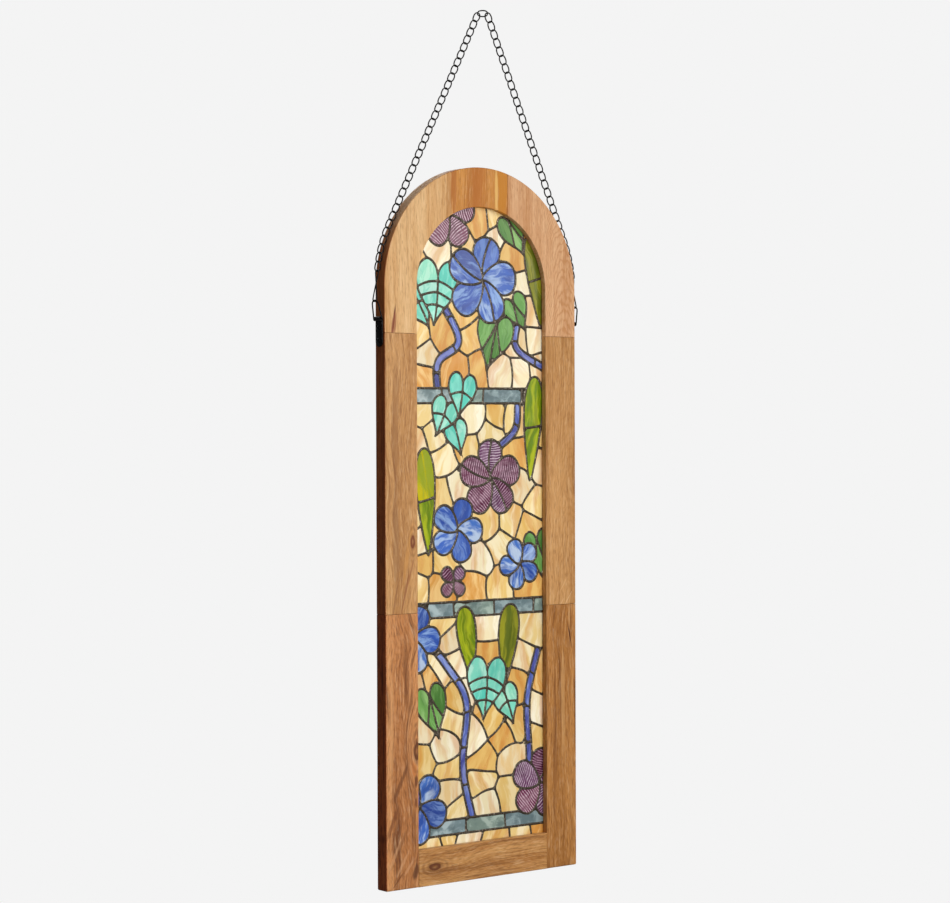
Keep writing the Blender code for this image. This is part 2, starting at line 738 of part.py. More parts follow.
def build_arch():
    """The arch with its two straight tails, one board glued from two pieces at an upright seam."""
    profile = member_profile(OPENING_RADIUS, HALF_WIDTH)
    foot = UPPER_JOINT_HEIGHT + CLEARANCE / 2
    turns = np.linspace(0, math.pi, ARCH_STEPS + 1)
    stations = [(foot, 0)] + [(ARCH_CENTRE_HEIGHT, turn) for turn in turns] + [(foot, math.pi)]
    sections = [[in_row(r * math.cos(turn), y, z + r * math.sin(turn)) for r, y in profile]
                for z, turn in stations]
    pieces = {}
    for name, side in (("arch_left", 1), ("arch_right", -1)):
        piece = add_object(name, "tan_wood", *lofted(sections))
        edge = ARCH_SEAM_X - side * CLEARANCE / 2
        far = edge + side * FRAME_WIDTH
        over = box_cutter(f"seam_{name}", (edge, far), (foot - MEMBER_WIDTH, FRAME_HEIGHT + MEMBER_WIDTH))
        combine(piece, over, "DIFFERENCE")
        pieces[name] = piece
    return pieces


def box_cutter(name, x_range, z_range):
    """A hidden box through the frame's whole thickness."""
    front, back = 2 * FRONT_Y, 2 * BACK_Y
    sections = [[in_row(x, y, z) for x, y in ((x_range[0], front), (x_range[1], front),
                                              (x_range[1], back), (x_range[0], back))]
                for z in z_range]
    return cutter(name, *lofted(sections))


def build_stiles():
    """The straight side members, two on each side, joined end to end."""
    spans = {"upper": (LOWER_JOINT_HEIGHT + CLEARANCE / 2, UPPER_JOINT_HEIGHT - CLEARANCE / 2),
             "lower": (0.0, LOWER_JOINT_HEIGHT - CLEARANCE / 2)}
    pieces = {}
    for side, sign in (("left", -1), ("right", 1)):
        for level, span in spans.items():
            sections = [[in_row(sign * r, y, z) for r, y in member_profile(OPENING_RADIUS, HALF_WIDTH)]
                        for z in span]
            name = f"stile_{level}_{side}"
            pieces[name] = add_object(name, "tan_wood", *lofted(sections))
    return pieces


def build_rail():
    """The foot of the frame, between the lower stiles."""
    reach = OPENING_RADIUS - CLEARANCE
    sections = [[in_row(x, y, RAIL_HEIGHT - r) for r, y in member_profile(0, RAIL_HEIGHT)]
                for x in (-reach, reach)]
    return {"bottom_rail": add_object("bottom_rail", "tan_wood", *lofted(sections))}


def build_frame():
    """The wooden frame, grooved for the panel and drilled for the hangers' screws."""
    pieces = {**build_arch(), **build_stiles(), **build_rail()}
    half = SOLDER_THICKNESS / 2 + CLEARANCE
    groove = cutter("groove", *plate(panel_outline(GROOVE_CLEARANCE), [],
                                     PANEL_MID_Y + half, PANEL_MID_Y - half))
    for piece in pieces.values():
        combine(piece, groove, "DIFFERENCE")
    for side, sign in (("left", -1), ("right", 1)):
        for level, height in SCREW_HEIGHTS.items():
            hole = screw_hole(f"hole_{side}_{level}", sign, height)
            wood = f"arch_{side}" if height > UPPER_JOINT_HEIGHT else f"stile_upper_{side}"
            combine(pieces[wood], hole, "DIFFERENCE")


def turned_solid(sign, height, rings_of, sides=8):
    """Points and faces of a solid turned about a level axis along X at a height on the frame's side."""
    turn = np.linspace(0, 2 * math.pi, sides, endpoint=False)
    sections = [[in_row(sign * x, radius * math.cos(t), height + radius * math.sin(t)) for t in turn]
                for x, radius in rings_of]
    return lofted(sections)


def screw_hole(name, sign, height):
    """A hidden cylinder that leaves the screw its clearance in strap and wood."""
    start = HALF_WIDTH - SCREW_LENGTH - CLEARANCE
    end = HALF_WIDTH + 2 * STRAP_THICKNESS
    radius = SCREW_SHANK_RADIUS + 2 * CLEARANCE
    return cutter(name, *turned_solid(sign, height, [(start, radius), (end, radius)]))


def build_screws(side, sign):
    """The two pan-head screws of one hanger."""
    under_head = HALF_WIDTH + STRAP_THICKNESS + 2 * CLEARANCE
    top = under_head + SCREW_HEAD_HEIGHT
    for level, height in SCREW_HEIGHTS.items():
        outline = [(HALF_WIDTH - SCREW_LENGTH, SCREW_SHANK_RADIUS / 2),
                   (HALF_WIDTH - SCREW_LENGTH + SCREW_POINT, SCREW_SHANK_RADIUS),
                   (under_head, SCREW_SHANK_RADIUS), (under_head, SCREW_HEAD_RADIUS),
                   (top, SCREW_HEAD_RADIUS * 0.7)]
        add_object(f"screw_{side}_{level}", "black_steel", *turned_solid(sign, height, outline))


def knuckle_centre():
    """Distance from the frame's middle and height of the knuckle's axis."""
    return HALF_WIDTH + CLEARANCE + KNUCKLE_RADIUS, KNUCKLE_HEIGHT


def build_hanger(side, sign):
    """A strap with a rounded foot and a rolled knuckle at its top, screwed to the frame's side."""
    half = STRAP_WIDTH / 2
    inner = HALF_WIDTH + CLEARANCE
    turn = np.linspace(math.pi, 2 * math.pi, 7)
    outline = [(half * math.cos(t), STRAP_BOTTOM_HEIGHT + half + half * math.sin(t)) for t in turn]
    outline += [(half, KNUCKLE_HEIGHT), (-half, KNUCKLE_HEIGHT)]
    sections = [[in_row(sign * x, y, z) for y, z in outline] for x in (inner, inner + STRAP_THICKNESS)]
    strap = add_object(f"hanger_{side}", "black_steel", *lofted(sections))
    centre_x, centre_z = knuckle_centre()
    for name, radius, reach, operation in (("roll", KNUCKLE_RADIUS, half, "UNION"),
                                           ("bore", RING_WIRE / 2 + 1.4 * CLEARANCE, 2 * half, "DIFFERENCE")):
        turn = np.linspace(0, 2 * math.pi, 8, endpoint=False) + math.pi / 8
        ends = [[in_row(sign * (centre_x + radius * math.cos(t)), y, centre_z + radius * math.sin(t))
                 for t in turn] for y in (-reach, reach)]
        combine(strap, cutter(f"{name}_{side}", *lofted(ends)), operation)
    for level, height in SCREW_HEIGHTS.items():
        combine(strap, screw_hole(f"strap_hole_{side}_{level}", sign, height), "DIFFERENCE")


def rounded_corners(corners, radii, steps):
    """A closed line through corners, each turned into an arc of its own radius."""
    line = []
    for i, (corner, radius) in enumerate(zip(corners, radii)):
        before = (corners[i - 1] - corner) / np.linalg.norm(corners[i - 1] - corner)
        after = corners[(i + 1) % len(corners)] - corner
        after = after / np.linalg.norm(after)
        half_angle = math.acos(float(before @ after)) / 2
        middle = (before + after) / np.linalg.norm(before + after)
        centre = corner + middle * radius / math.sin(half_angle)
        sweep = math.pi / 2 - half_angle
        across = after - middle * float(after @ middle)
        across = across / np.linalg.norm(across)
        for t in np.linspace(-sweep, sweep, steps):
            line.append(centre + radius * (across * math.sin(t) - middle * math.cos(t)))
    return np.array(line)


def ring_apex():
    """Distance from the frame's middle and height of the middle of the ring's wire at its top."""
    base_x, base_z = knuckle_centre()
    height = RING_HEIGHT - RING_WIRE
    return base_x + height * math.sin(RING_LEAN), base_z + height * math.cos(RING_LEAN)


def build_ring(side, sign):
    """A triangular ring through the strap's knuckle, its point up, leaning out towards the chain."""
    base_x, base_z = knuckle_centre()
    half = (RING_WIDTH - RING_WIRE) / 2
    # The rounding takes the triangle's point off, so its corner lies above the ring's top
    centre_height = RING_HEIGHT - RING_WIRE - RING_TIP_RADIUS
    share = 1 - (RING_TIP_RADIUS / half) ** 2
    corner_height = (centre_height + math.sqrt(centre_height ** 2
                     - share * (centre_height ** 2 - RING_TIP_RADIUS ** 2))) / share
    corners = [np.array(p) for p in ((-half, 0.0), (half, 0.0), (0.0, corner_height))]
    flat = rounded_corners(corners, (RING_BASE_RADIUS, RING_BASE_RADIUS, RING_TIP_RADIUS), 5)
    lean = np.array([math.sin(RING_LEAN), math.cos(RING_LEAN)])
    line = [in_row(sign * (base_x + up * lean[0]), across, base_z + up * lean[1]) for across, up in flat]
    add_object(f"ring_{side}", "black_steel", *looped_tube(line, RING_WIRE / 2, 6, (1, 0, 0)))


def link_line(start, end, length, width, twist, normal, steps):
    """The middle of a link's wire: an oval along its axis whose two sides lean out of its plane."""
    start, end = np.asarray(start), np.asarray(end)
    along = (end - start) / np.linalg.norm(end - start)
    normal = normal - along * float(normal @ along)
    normal = normal / np.linalg.norm(normal)
    across = np.cross(normal, along)
    turn = np.linspace(0, 2 * math.pi, steps, endpoint=False) + math.pi / steps
    return ((start + end) / 2 + np.outer(np.cos(turn) * length / 2, along)
            + np.outer(np.sin(turn) * width / 2, across) + np.outer(np.sin(2 * turn) * twist, normal))


def top_link_drop():
    """How far the top link's middle lies below the point where it rests on the hook."""
    return LINK_WIDTH / 2 - LINK_WIRE


def chain_joints(sign):
    """Points where the links of one side meet, from the top link along a straight run that touches the
    arch, then around the arch's rim to the long hook."""
    rim = HALF_WIDTH + RIM_GAP + LINK_WIDTH / 2
    top = np.array([sign * LINK_PITCH / 2 * math.cos(TOP_LINK_TURN) - FRAME_X,
                    -sign * LINK_PITCH / 2 * math.sin(TOP_LINK_TURN),
                    FRAME_HEIGHT + CHAIN_RISE - top_link_drop()])
    away = np.array([sign * top[0], top[2] - ARCH_CENTRE_HEIGHT])
    distance = np.linalg.norm(away)
    touch = math.atan2(away[1], away[0]) - math.acos(rim / distance)
    final = math.asin((HOOK_TOP_HEIGHT - ARCH_CENTRE_HEIGHT) / rim)
    straight = math.sqrt(distance ** 2 - rim ** 2)
    total = straight + rim * (touch - final)
    count = round(total / LINK_PITCH)
    joints = []
    for run in np.linspace(0, total, count + 1):
        if run < straight:
            share = run / straight
            tangent = np.array([sign * rim * math.cos(touch), 0, ARCH_CENTRE_HEIGHT + rim * math.sin(touch)])
            joints.append(top + (tangent - top) * share)
        else:
            turn = touch - (run - straight) / rim
            joints.append(np.array([sign * rim * math.cos(turn), 0,
                                    ARCH_CENTRE_HEIGHT + rim * math.sin(turn)]))
    return [np.array(in_row(*joint)) for joint in joints]


def plane_normal(share):
    """The direction that a link faces: turned at the top, level with the frame where it meets the rim."""
    fade = min(max((share - STRAIGHT_SHARE) / (1 - STRAIGHT_SHARE), 0), 1)
    turn = TOP_LINK_TURN * (1 - fade)
    return np.array([math.sin(turn), math.cos(turn), 0])


def chain_links():
    """Every link of the chain in order, from the left hook over the top link to the right one, as its two
    ends and the direction it faces."""
    reach = np.array([math.cos(TOP_LINK_TURN), -math.sin(TOP_LINK_TURN), 0]) * LINK_PITCH / 2
    middle = np.array([0, 0, -top_link_drop()])
    sides = []
    for sign in (-1, 1):
        joints = chain_joints(sign)
        count = len(joints) - 1
        sides.append([(joints[i], joints[i + 1], plane_normal((i + 0.5) / count)) for i in range(count)])
    return sides[0][::-1] + [(middle - reach, middle + reach, plane_normal(0))] + sides[1]


def build_chain():
    """The whole chain, its links fused where they touch."""
    halves = ([], [])
    links = chain_links()
    for number, (start, end, normal) in enumerate(links):
        steps = TOP_LINK_SEGMENTS if number == len(links) // 2 else LINK_SEGMENTS
        line = link_line(start, end, LINK_LENGTH - LINK_WIRE, LINK_WIDTH - LINK_WIRE, LINK_TWIST, normal,
                         steps)
        halves[number % 2].append(looped_tube(line, LINK_WIRE / 2 * WIRE_SWELL, WIRE_SIDES, normal))
    solids = []
    for half in halves:
        points = []
        faces = []
        for own_points, own_faces in half:
            faces += [tuple(i + len(points) for i in face) for face in own_faces]
            points += list(own_points)
        solids.append((points, faces))
    chain = add_object("chain", "black_steel", *solids[0])
    combine(chain, cutter("other_links", *solids[1]), "UNION")


def build_hook(side, sign):
    """A long connecting link between ring and chain, twisted a quarter turn from foot to top."""
    last = chain_joints(sign)[-1]
    overhang = (LINK_LENGTH - LINK_WIRE - LINK_PITCH) / 2
    apex_x, apex_z = ring_apex()
    ring_gap = (RING_WIRE + HOOK_WIRE) / 2 + 1.5 * CLEARANCE
    link_gap = (LINK_WIRE * WIRE_SWELL + HOOK_WIRE) / 2 + 3 * CLEARANCE
    foot = np.array(in_row(sign * apex_x, 0, apex_z - ring_gap))
    top = last + np.array([0, 0, link_gap - overhang])
    length = float(np.linalg.norm(top - foot))
    upward = (top - foot) / length
    radius = (HOOK_WIDTH - HOOK_WIRE) / 2
    turns = np.linspace(0, math.pi, 6)
    outline = [(radius * math.cos(t), length - radius + radius * math.sin(t)) for t in turns]
    sides = np.linspace(length - radius, radius, 5)[1:-1]
    outline += [(-radius, up) for up in sides]
    outline += [(radius * math.cos(t), radius + radius * math.sin(t)) for t in turns + math.pi]
    outline += [(radius, up) for up in sides[::-1]]
    line = []
    for across, up in outline:
        share = min(max((up - radius) / (length - 2 * radius), 0), 1)
        turn = math.pi / 2 * share
        line.append(foot + upward * up + across * np.array([math.cos(turn), math.sin(turn), 0]))
    add_object(f"hook_{side}", "black_steel", *looped_tube(line, HOOK_WIRE / 2, 6, (0.5, 0.5, 0)))


def main():
    """Clears the scene and builds every sub-part."""
    for old in list(bpy.data.objects):
        bpy.data.objects.remove(old, do_unlink=True)
    build_frame()
    build_panel()
    for side, sign in (("left", -1), ("right", 1)):
        build_hanger(side, sign)
        build_screws(side, sign)
        build_ring(side, sign)
        build_hook(side, sign)
    build_chain()


main()
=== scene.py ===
"""Arched stained glass panel in a wooden frame, hung from a chain.

Metres, +Z up. The origin is the point of the chain's top link that rests on the hook. X runs along the
panel's width, and the panel faces -Y. The chain and the frame's mid plane lie at y = 0. Places on the frame
are first given from its bottom centre and then moved by (FRAME_X, 0, FRAME_Z).
"""

import json
import math

import bpy
import numpy as np
from mathutils import Matrix, Vector
from mathutils.bvhtree import BVHTree
from mathutils.geometry import delaunay_2d_cdt


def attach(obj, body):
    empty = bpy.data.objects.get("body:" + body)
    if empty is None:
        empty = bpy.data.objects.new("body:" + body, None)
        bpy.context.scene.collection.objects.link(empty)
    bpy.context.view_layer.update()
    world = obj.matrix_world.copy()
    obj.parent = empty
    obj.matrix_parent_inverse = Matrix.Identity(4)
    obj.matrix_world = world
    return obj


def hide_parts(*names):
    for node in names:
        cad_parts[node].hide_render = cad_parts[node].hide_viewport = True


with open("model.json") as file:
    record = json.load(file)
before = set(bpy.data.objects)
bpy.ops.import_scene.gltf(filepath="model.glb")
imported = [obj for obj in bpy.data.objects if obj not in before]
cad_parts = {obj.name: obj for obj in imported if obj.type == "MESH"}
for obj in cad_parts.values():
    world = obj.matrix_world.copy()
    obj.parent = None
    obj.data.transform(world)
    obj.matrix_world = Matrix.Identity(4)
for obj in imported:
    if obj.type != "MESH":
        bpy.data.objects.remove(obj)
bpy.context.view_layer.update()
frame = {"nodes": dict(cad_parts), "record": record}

# Wooden frame
FRAME_HEIGHT = 0.914
FRAME_WIDTH = 0.313
FRAME_THICKNESS = 0.0195
MEMBER_WIDTH = 0.0507
RAIL_HEIGHT = 0.0472
UPPER_JOINT_HEIGHT = 0.699
LOWER_JOINT_HEIGHT = 0.3466
ARCH_SEAM_X = 0.0425
OUTER_ROUNDING = 0.0011
INNER_ROUNDING = 0.0007
JOINT_EASE = 0.00022
EASE_REACH = 0.003
ARCH_STATIONS = 96

# Glass panel
GLASS_THICKNESS = 0.003
GLASS_RECESS = 0.0091
PANEL_LIP = 0.005
GROOVE_DEPTH = 0.006
GROOVE_HALF = 0.0028
SOLDER_HALF_WIDTH = 0.00146
SOLDER_CREST = 0.00085
SOLDER_LEVELS = (0.0007, 0.0012, 0.0018)
GLASS_EDGE = 0.0010
SOLDER_OVERLAP = 0.0009
TILE_CORE = 0.0019
LATTICE_GAP = 0.0012
RING_STEP = 0.0024
WAVE_STEP = 0.0042
TILE_TILT = 0.006

# Hanging hardware
STRAP_WIDTH = 0.014
STRAP_THICKNESS = 0.0016
STRAP_BOTTOM_HEIGHT = 0.6815
KNUCKLE_HEIGHT = 0.7165
KNUCKLE_RADIUS = 0.0028
RING_WIRE = 0.0018
RING_WIDTH = 0.0192
RING_HEIGHT = 0.0255
RING_BASE_RADIUS = 0.0013
RING_TIP_RADIUS = 0.0065
RING_LEAN = math.radians(12)
HOOK_WIRE = 0.0016
HOOK_WIDTH = 0.0074
HOOK_TOP_HEIGHT = 0.7765
SCREW_HEIGHTS = {"upper": 0.7055, "lower": 0.6895}
SCREW_HEAD_RADIUS = 0.0031
SCREW_HEAD_HEIGHT = 0.0013
SCREW_SHANK_RADIUS = 0.0015
SCREW_LENGTH = 0.013
CROSS_HALF_WIDTH = 0.00035
CROSS_REACH = 0.0019
CROSS_DEPTH = 0.0007

# Chain
CHAIN_RISE = 0.2027
HANG_OFFSET = 0.0094
LINK_PITCH = 0.0115
LINK_LENGTH = 0.0143
LINK_WIDTH = 0.0092
LINK_WIRE = 0.00145
LINK_SWELL = 1.18
LINK_SQUARENESS = 0.86
LINK_TWIST = 0.00045
TOP_LINK_TURN = math.radians(37.0)
STRAIGHT_SHARE = 0.7
RIM_GAP = 0.0006
CLEARANCE = 0.0003

HALF_WIDTH = FRAME_WIDTH / 2
OPENING_RADIUS = HALF_WIDTH - MEMBER_WIDTH
ARCH_CENTRE_HEIGHT = FRAME_HEIGHT - HALF_WIDTH
PANEL_RADIUS = OPENING_RADIUS + PANEL_LIP
PANEL_FOOT_HEIGHT = RAIL_HEIGHT - PANEL_LIP
FRAME_X = -HANG_OFFSET
FRAME_Z = -(FRAME_HEIGHT + CHAIN_RISE)
FRONT_Y = -FRAME_THICKNESS / 2
BACK_Y = FRAME_THICKNESS / 2
GLASS_FRONT_Y = FRONT_Y + GLASS_RECESS
GLASS_BACK_Y = GLASS_FRONT_Y + GLASS_THICKNESS
PANEL_MID_Y = GLASS_FRONT_Y + GLASS_THICKNESS / 2

# The design is drawn on a sheet of its own proportions, in half widths of the sheet's opening, and then
# fitted to the panel. Places are (half widths from the centre, share of the opening's height from its foot),
# sizes are half widths, turns are degrees clockwise, 0 pointing up.
SHEET_PROPORTION = 7.7136
SHEET_LIP_SHARE = 0.0473
SHEET_RADIUS = 1 + SHEET_LIP_SHARE
SHEET_FOOT = -SHEET_LIP_SHARE
SHEET_ARCH_CENTRE = SHEET_PROPORTION - 1
BARS = [0.703, 0.368, 0.027]
BAR_DEPTH = 0.18
# Points from top to foot, width
STEMS = [
    ([(0.20, 0.86), (0.60, 0.83), (0.60, 0.78), (1.1, 0.745)], 0.09),
    ([(-0.62, 0.86), (-0.30, 0.79), (-0.62, 0.755), (-0.62, 0.70)], 0.095),
    ([(0.62, 0.70), (0.58, 0.65), (0.30, 0.62), (0.10, 0.585)], 0.09),
    ([(-0.86, 0.33), (-0.50, 0.28), (-0.20, 0.22), (-0.26, 0.12), (-0.10, 0.03)], 0.095),
    ([(0.94, 0.30), (0.76, 0.22), (0.78, 0.14), (0.80, 0.07)], 0.09),
]
# Place of the stalk, length, width, turn
LONG_LEAVES = [
    ((0.84, 0.965), 1.20, 0.30, 172),
    ((0.90, 0.735), 1.30, 0.30, 184),
    ((-0.84, 0.622), 1.30, 0.29, 177),
    ((-0.24, 0.372), 0.90, 0.30, 172),
    ((0.50, 0.372), 1.00, 0.32, 186),
]
# Colour, place of the stalk, length, width, turn
HEART_LEAVES = [
    ("teal", (-0.98, 0.860), 0.46, 0.52, 150),
    ("teal", (-0.62, 0.890), 0.62, 0.66, 186),
    ("green", (0.56, 0.850), 0.38, 0.40, 150),
    ("green", (0.28, 0.812), 0.56, 0.58, 196),
    ("green", (0.50, 0.978), 0.44, 0.42, 150),
    ("teal", (-0.36, 0.652), 0.34, 0.36, 165),
    ("teal", (-0.50, 0.684), 0.38, 0.42, 205),
    ("teal", (-0.24, 0.722), 0.42, 0.44, 190),
    ("green", (0.92, 0.470), 0.46, 0.44, 170),
    ("teal", (0.40, 0.228), 0.40, 0.40, 160),
    ("teal", (0.12, 0.266), 0.60, 0.62, 186),
    ("green", (-0.76, 0.232), 0.52, 0.48, 165),
]
# Colour, centre, radius, turn, petals
BLOSSOMS = [
    ("plum", (-0.46, 0.985), 0.42, 0, 5),
    ("blue", (0.06, 0.885), 0.54, 12, 5),
    ("plum", (0.18, 0.572), 0.48, 0, 5),
    ("blue", (-0.34, 0.492), 0.40, 20, 5),
    ("blue", (0.64, 0.435), 0.32, 50, 5),
    ("plum", (-0.40, 0.412), 0.22, 45, 4),
    ("blue", (-1.02, 0.325), 0.42, 22, 5),
    ("plum", (0.94, 0.080), 0.44, 10, 5),
    ("blue", (-0.94, 0.062), 0.44, 36, 5),
]
# Steps of the outlines: arch, stem step, petal, heart leaf, long leaf. The coarse ones place the ground
# seeds, the fine ones are what is seen.
COARSE = (28, 0.208, 8, 12, 6)
FINE = (120, 0.028, 44, 60, 30)
GROUND = -1
GROUND_TILE = 0.34
SEED_LATTICE = 0.045
SEAM_BOW = 0.10
SMALLEST_GROUND = 0.016
SMALLEST_MOTIF = 0.0045

# Tones of each kind of glass: (main tone, streak)
GLASS_TONES = {
    "cream": [("#ECD08C", "#F8EDCB"), ("#E8C478", "#F5E2B0"), ("#E2B664", "#F2DA9C"), ("#D99A4A", "#F0CD8A"),
              ("#F2E4BC", "#FCF6E2"), ("#EACC86", "#F8E9C0"), ("#F0E1BE", "#E3BE7E"), ("#E5BC6E", "#CE8A3C")],
    "blue": [("#3256B0", "#94B6E6"), ("#4068C2", "#B0CAEE"), ("#304C9A", "#7896D0"), ("#4874C6", "#C8DAF0"),
             ("#3E60B4", "#6C8CCC")],
    "teal": [("#6ED0BA", "#B0EAD9"), ("#82DCC6", "#C8F3E4"), ("#56C8B6", "#94E4D4"), ("#8ADCC0", "#C2F0DA")],
    "green": [("#639C4A", "#8DBF74"), ("#548A42", "#78AE62"), ("#75AA5A", "#A2CD84"), ("#487836", "#70A252")],
    "lime": [("#5E9A08", "#C4CC08"), ("#66860E", "#B4BE10"), ("#C4B800", "#8A9C08"), ("#5E6A1C", "#9C9A1E")],
    "plum": [("#5E2242", "#DDBCD0"), ("#6E2C4E", "#E6CBDA"), ("#4C1A36", "#C79DB8"), ("#66345E", "#DECADC")],
    "indigo": [("#3E448C", "#6670BC"), ("#4A509A", "#8A94D0"), ("#383E7E", "#5A62A8"),
               ("#5868B8", "#97A8DE")],
    "slate": [("#74888E", "#B2C4C8"), ("#82969A", "#C2D2D4"), ("#667A80", "#9EB2B6"), ("#7C9088", "#B4C6BC")],
}
BACKDROP_TONE = "#F4F4F4"
# Painted shade: the frame's narrow outer side is multiplied by this colour, which stands in for the shade
# that falls on that side. The side is also duller than its front
SIDE_PAINTED_SHADE = (0.62, 0.25, 0.08, 1.0)
SIDE_PAINTED_SHADE_SHARE = 0.9
SIDE_ROUGHNESS = 0.85

# The camera's place, its turns in radians (about Z, up, about its own axis) and its focal length as a share
# of the picture's width
CAMERA_PLACE = (-2.0396, -2.5427, -0.5316)
CAMERA_TURNS = (0.6725, -0.0110, -0.0034)
FOCAL_SHARE = 2525.0 / 950.0
SENSOR_WIDTH = 36.0


def linear(tone):
    """A #RRGGBB screen colour as linear red, green, blue, alpha."""
    shares = [int(tone[i:i + 2], 16) / 255 for i in (1, 3, 5)]
    return tuple(s / 12.92 if s <= 0.04045 else ((s + 0.055) / 1.055) ** 2.4 for s in shares) + (1.0,)


def in_row(points):
    """Points given from the frame's bottom centre, in the row's frame."""
    return np.asarray(points, dtype=float) + [FRAME_X, 0.0, FRAME_Z]


def unit_rows(vectors):
    """Each row at length 1."""
    return vectors / np.linalg.norm(vectors, axis=1)[:, None]


def run_lengths(line):
    """Each point's distance from the line's start, along the line."""
    return np.concatenate([[0], np.cumsum(np.linalg.norm(np.diff(line, axis=0), axis=1))])


def add_piece(name, points, faces, materials, smooth_angle=40.0, face_materials=None):
    """A mesh object at the origin, smooth except at edges sharper than the angle."""
    mesh = bpy.data.meshes.new(name)
    mesh.from_pydata(np.asarray(points, dtype=float).tolist(), [], [list(map(int, f)) for f in faces])
    for each in materials:
        mesh.materials.append(each)
    if face_materials is not None:
        mesh.polygons.foreach_set("material_index", np.asarray(face_materials, dtype=np.int32))
    mesh.polygons.foreach_set("use_smooth", np.ones(len(mesh.polygons), dtype=bool))
    mesh.update()
    mesh.set_sharp_from_angle(angle=math.radians(smooth_angle))
    made = bpy.data.objects.new(name, mesh)
    bpy.context.scene.collection.objects.link(made)
    return made


def present(piece, slot, *nodes):
    """Ties a piece to the body and hides the nodes that it stands for. Its slot is not used."""
    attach(piece, "root")
    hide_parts(*nodes)


def grid_faces(rows, columns, closed_rows=False, closed_columns=True):
    """Quads between the neighbours of a grid of rows x columns points."""
    i = np.arange(rows if closed_rows else rows - 1)[:, None]
    j = np.arange(columns if closed_columns else columns - 1)[None, :]
    after_i, after_j = (i + 1) % rows, (j + 1) % columns
    corners = np.stack(np.broadcast_arrays(i * columns + j, i * columns + after_j,
                                           after_i * columns + after_j, after_i * columns + j), axis=-1)
    return corners.reshape(-1, 4).tolist()


def outward(points, faces):
    """The faces, each turned round if the closed shape they make has a negative volume."""
    points = np.asarray(points)
    volume = 0.0
    for face in faces:
        first = points[face[0]]
        for second, third in zip(face[1:-1], face[2:]):
            volume += float(first @ np.cross(points[second], points[third]))
    return [list(face)[::-1] for face in faces] if volume < 0 else faces


def lofted(sections):
    """A closed solid through equal rings of points, capped at both ends."""
    sections = np.asarray(sections, dtype=float)
    rows, columns = sections.shape[:2]
    points = sections.reshape(-1, 3)
    faces = grid_faces(rows, columns)
    faces.append(list(range(columns))[::-1])
    faces.append(list(range((rows - 1) * columns, rows * columns)))
    return points, outward(points, faces)


def joined_shapes(shapes):
    """Several closed shapes as one list of points and one of faces."""
    points = []
    faces = []
    first = 0
    for own_points, own_faces in shapes:
        points.append(np.asarray(own_points))
        faces += [[first + i for i in face] for face in own_faces]
        first += len(own_points)
    return np.vstack(points), faces


def looped_tube(line, radius, sides, flat_normal):
    """A round wire along a closed line: circles square to the line, one at each of its points."""
    line = np.asarray(line)
    along = unit_rows(np.roll(line, -1, axis=0) - np.roll(line, 1, axis=0))
    out = unit_rows(np.cross(along, flat_normal))
    up = np.cross(along, out)
    turn = np.linspace(0, 2 * math.pi, sides, endpoint=False)
    ring = out[:, None] * np.cos(turn)[:, None] + up[:, None] * np.sin(turn)[:, None]
    points = (line[:, None] + ring * radius).reshape(-1, 3)
    return points, outward(points, grid_faces(len(line), sides, closed_rows=True))


def rounded_corners(corners, radii, steps, margin=0.0):
    """A closed line through corners, each turned into an arc of its own radius. A margin adds a point that
    far along the straight run on both sides of each arc, which keeps the flat face's shading flat."""
    corners = np.asarray(corners, dtype=float)
    line = []
    for i, (corner, radius) in enumerate(zip(corners, radii)):
        before = (corners[i - 1] - corner) / np.linalg.norm(corners[i - 1] - corner)
        after = corners[(i + 1) % len(corners)] - corner
        after = after / np.linalg.norm(after)
        half_angle = math.acos(float(np.clip(before @ after, -1, 1))) / 2
        middle = (before + after) / np.linalg.norm(before + after)
        centre = corner + middle * radius / math.sin(half_angle)
        sweep = math.pi / 2 - half_angle
        across = after - middle * float(after @ middle)
        across = across / np.linalg.norm(across)
        arc = [centre + radius * (across * math.sin(t) - middle * math.cos(t))
               for t in np.linspace(-sweep, sweep, steps)]
        if margin:
            arc = [arc[0] + before * margin] + arc + [arc[-1] + after * margin]
        line.extend(arc)
    return np.array(line)


# Shader building


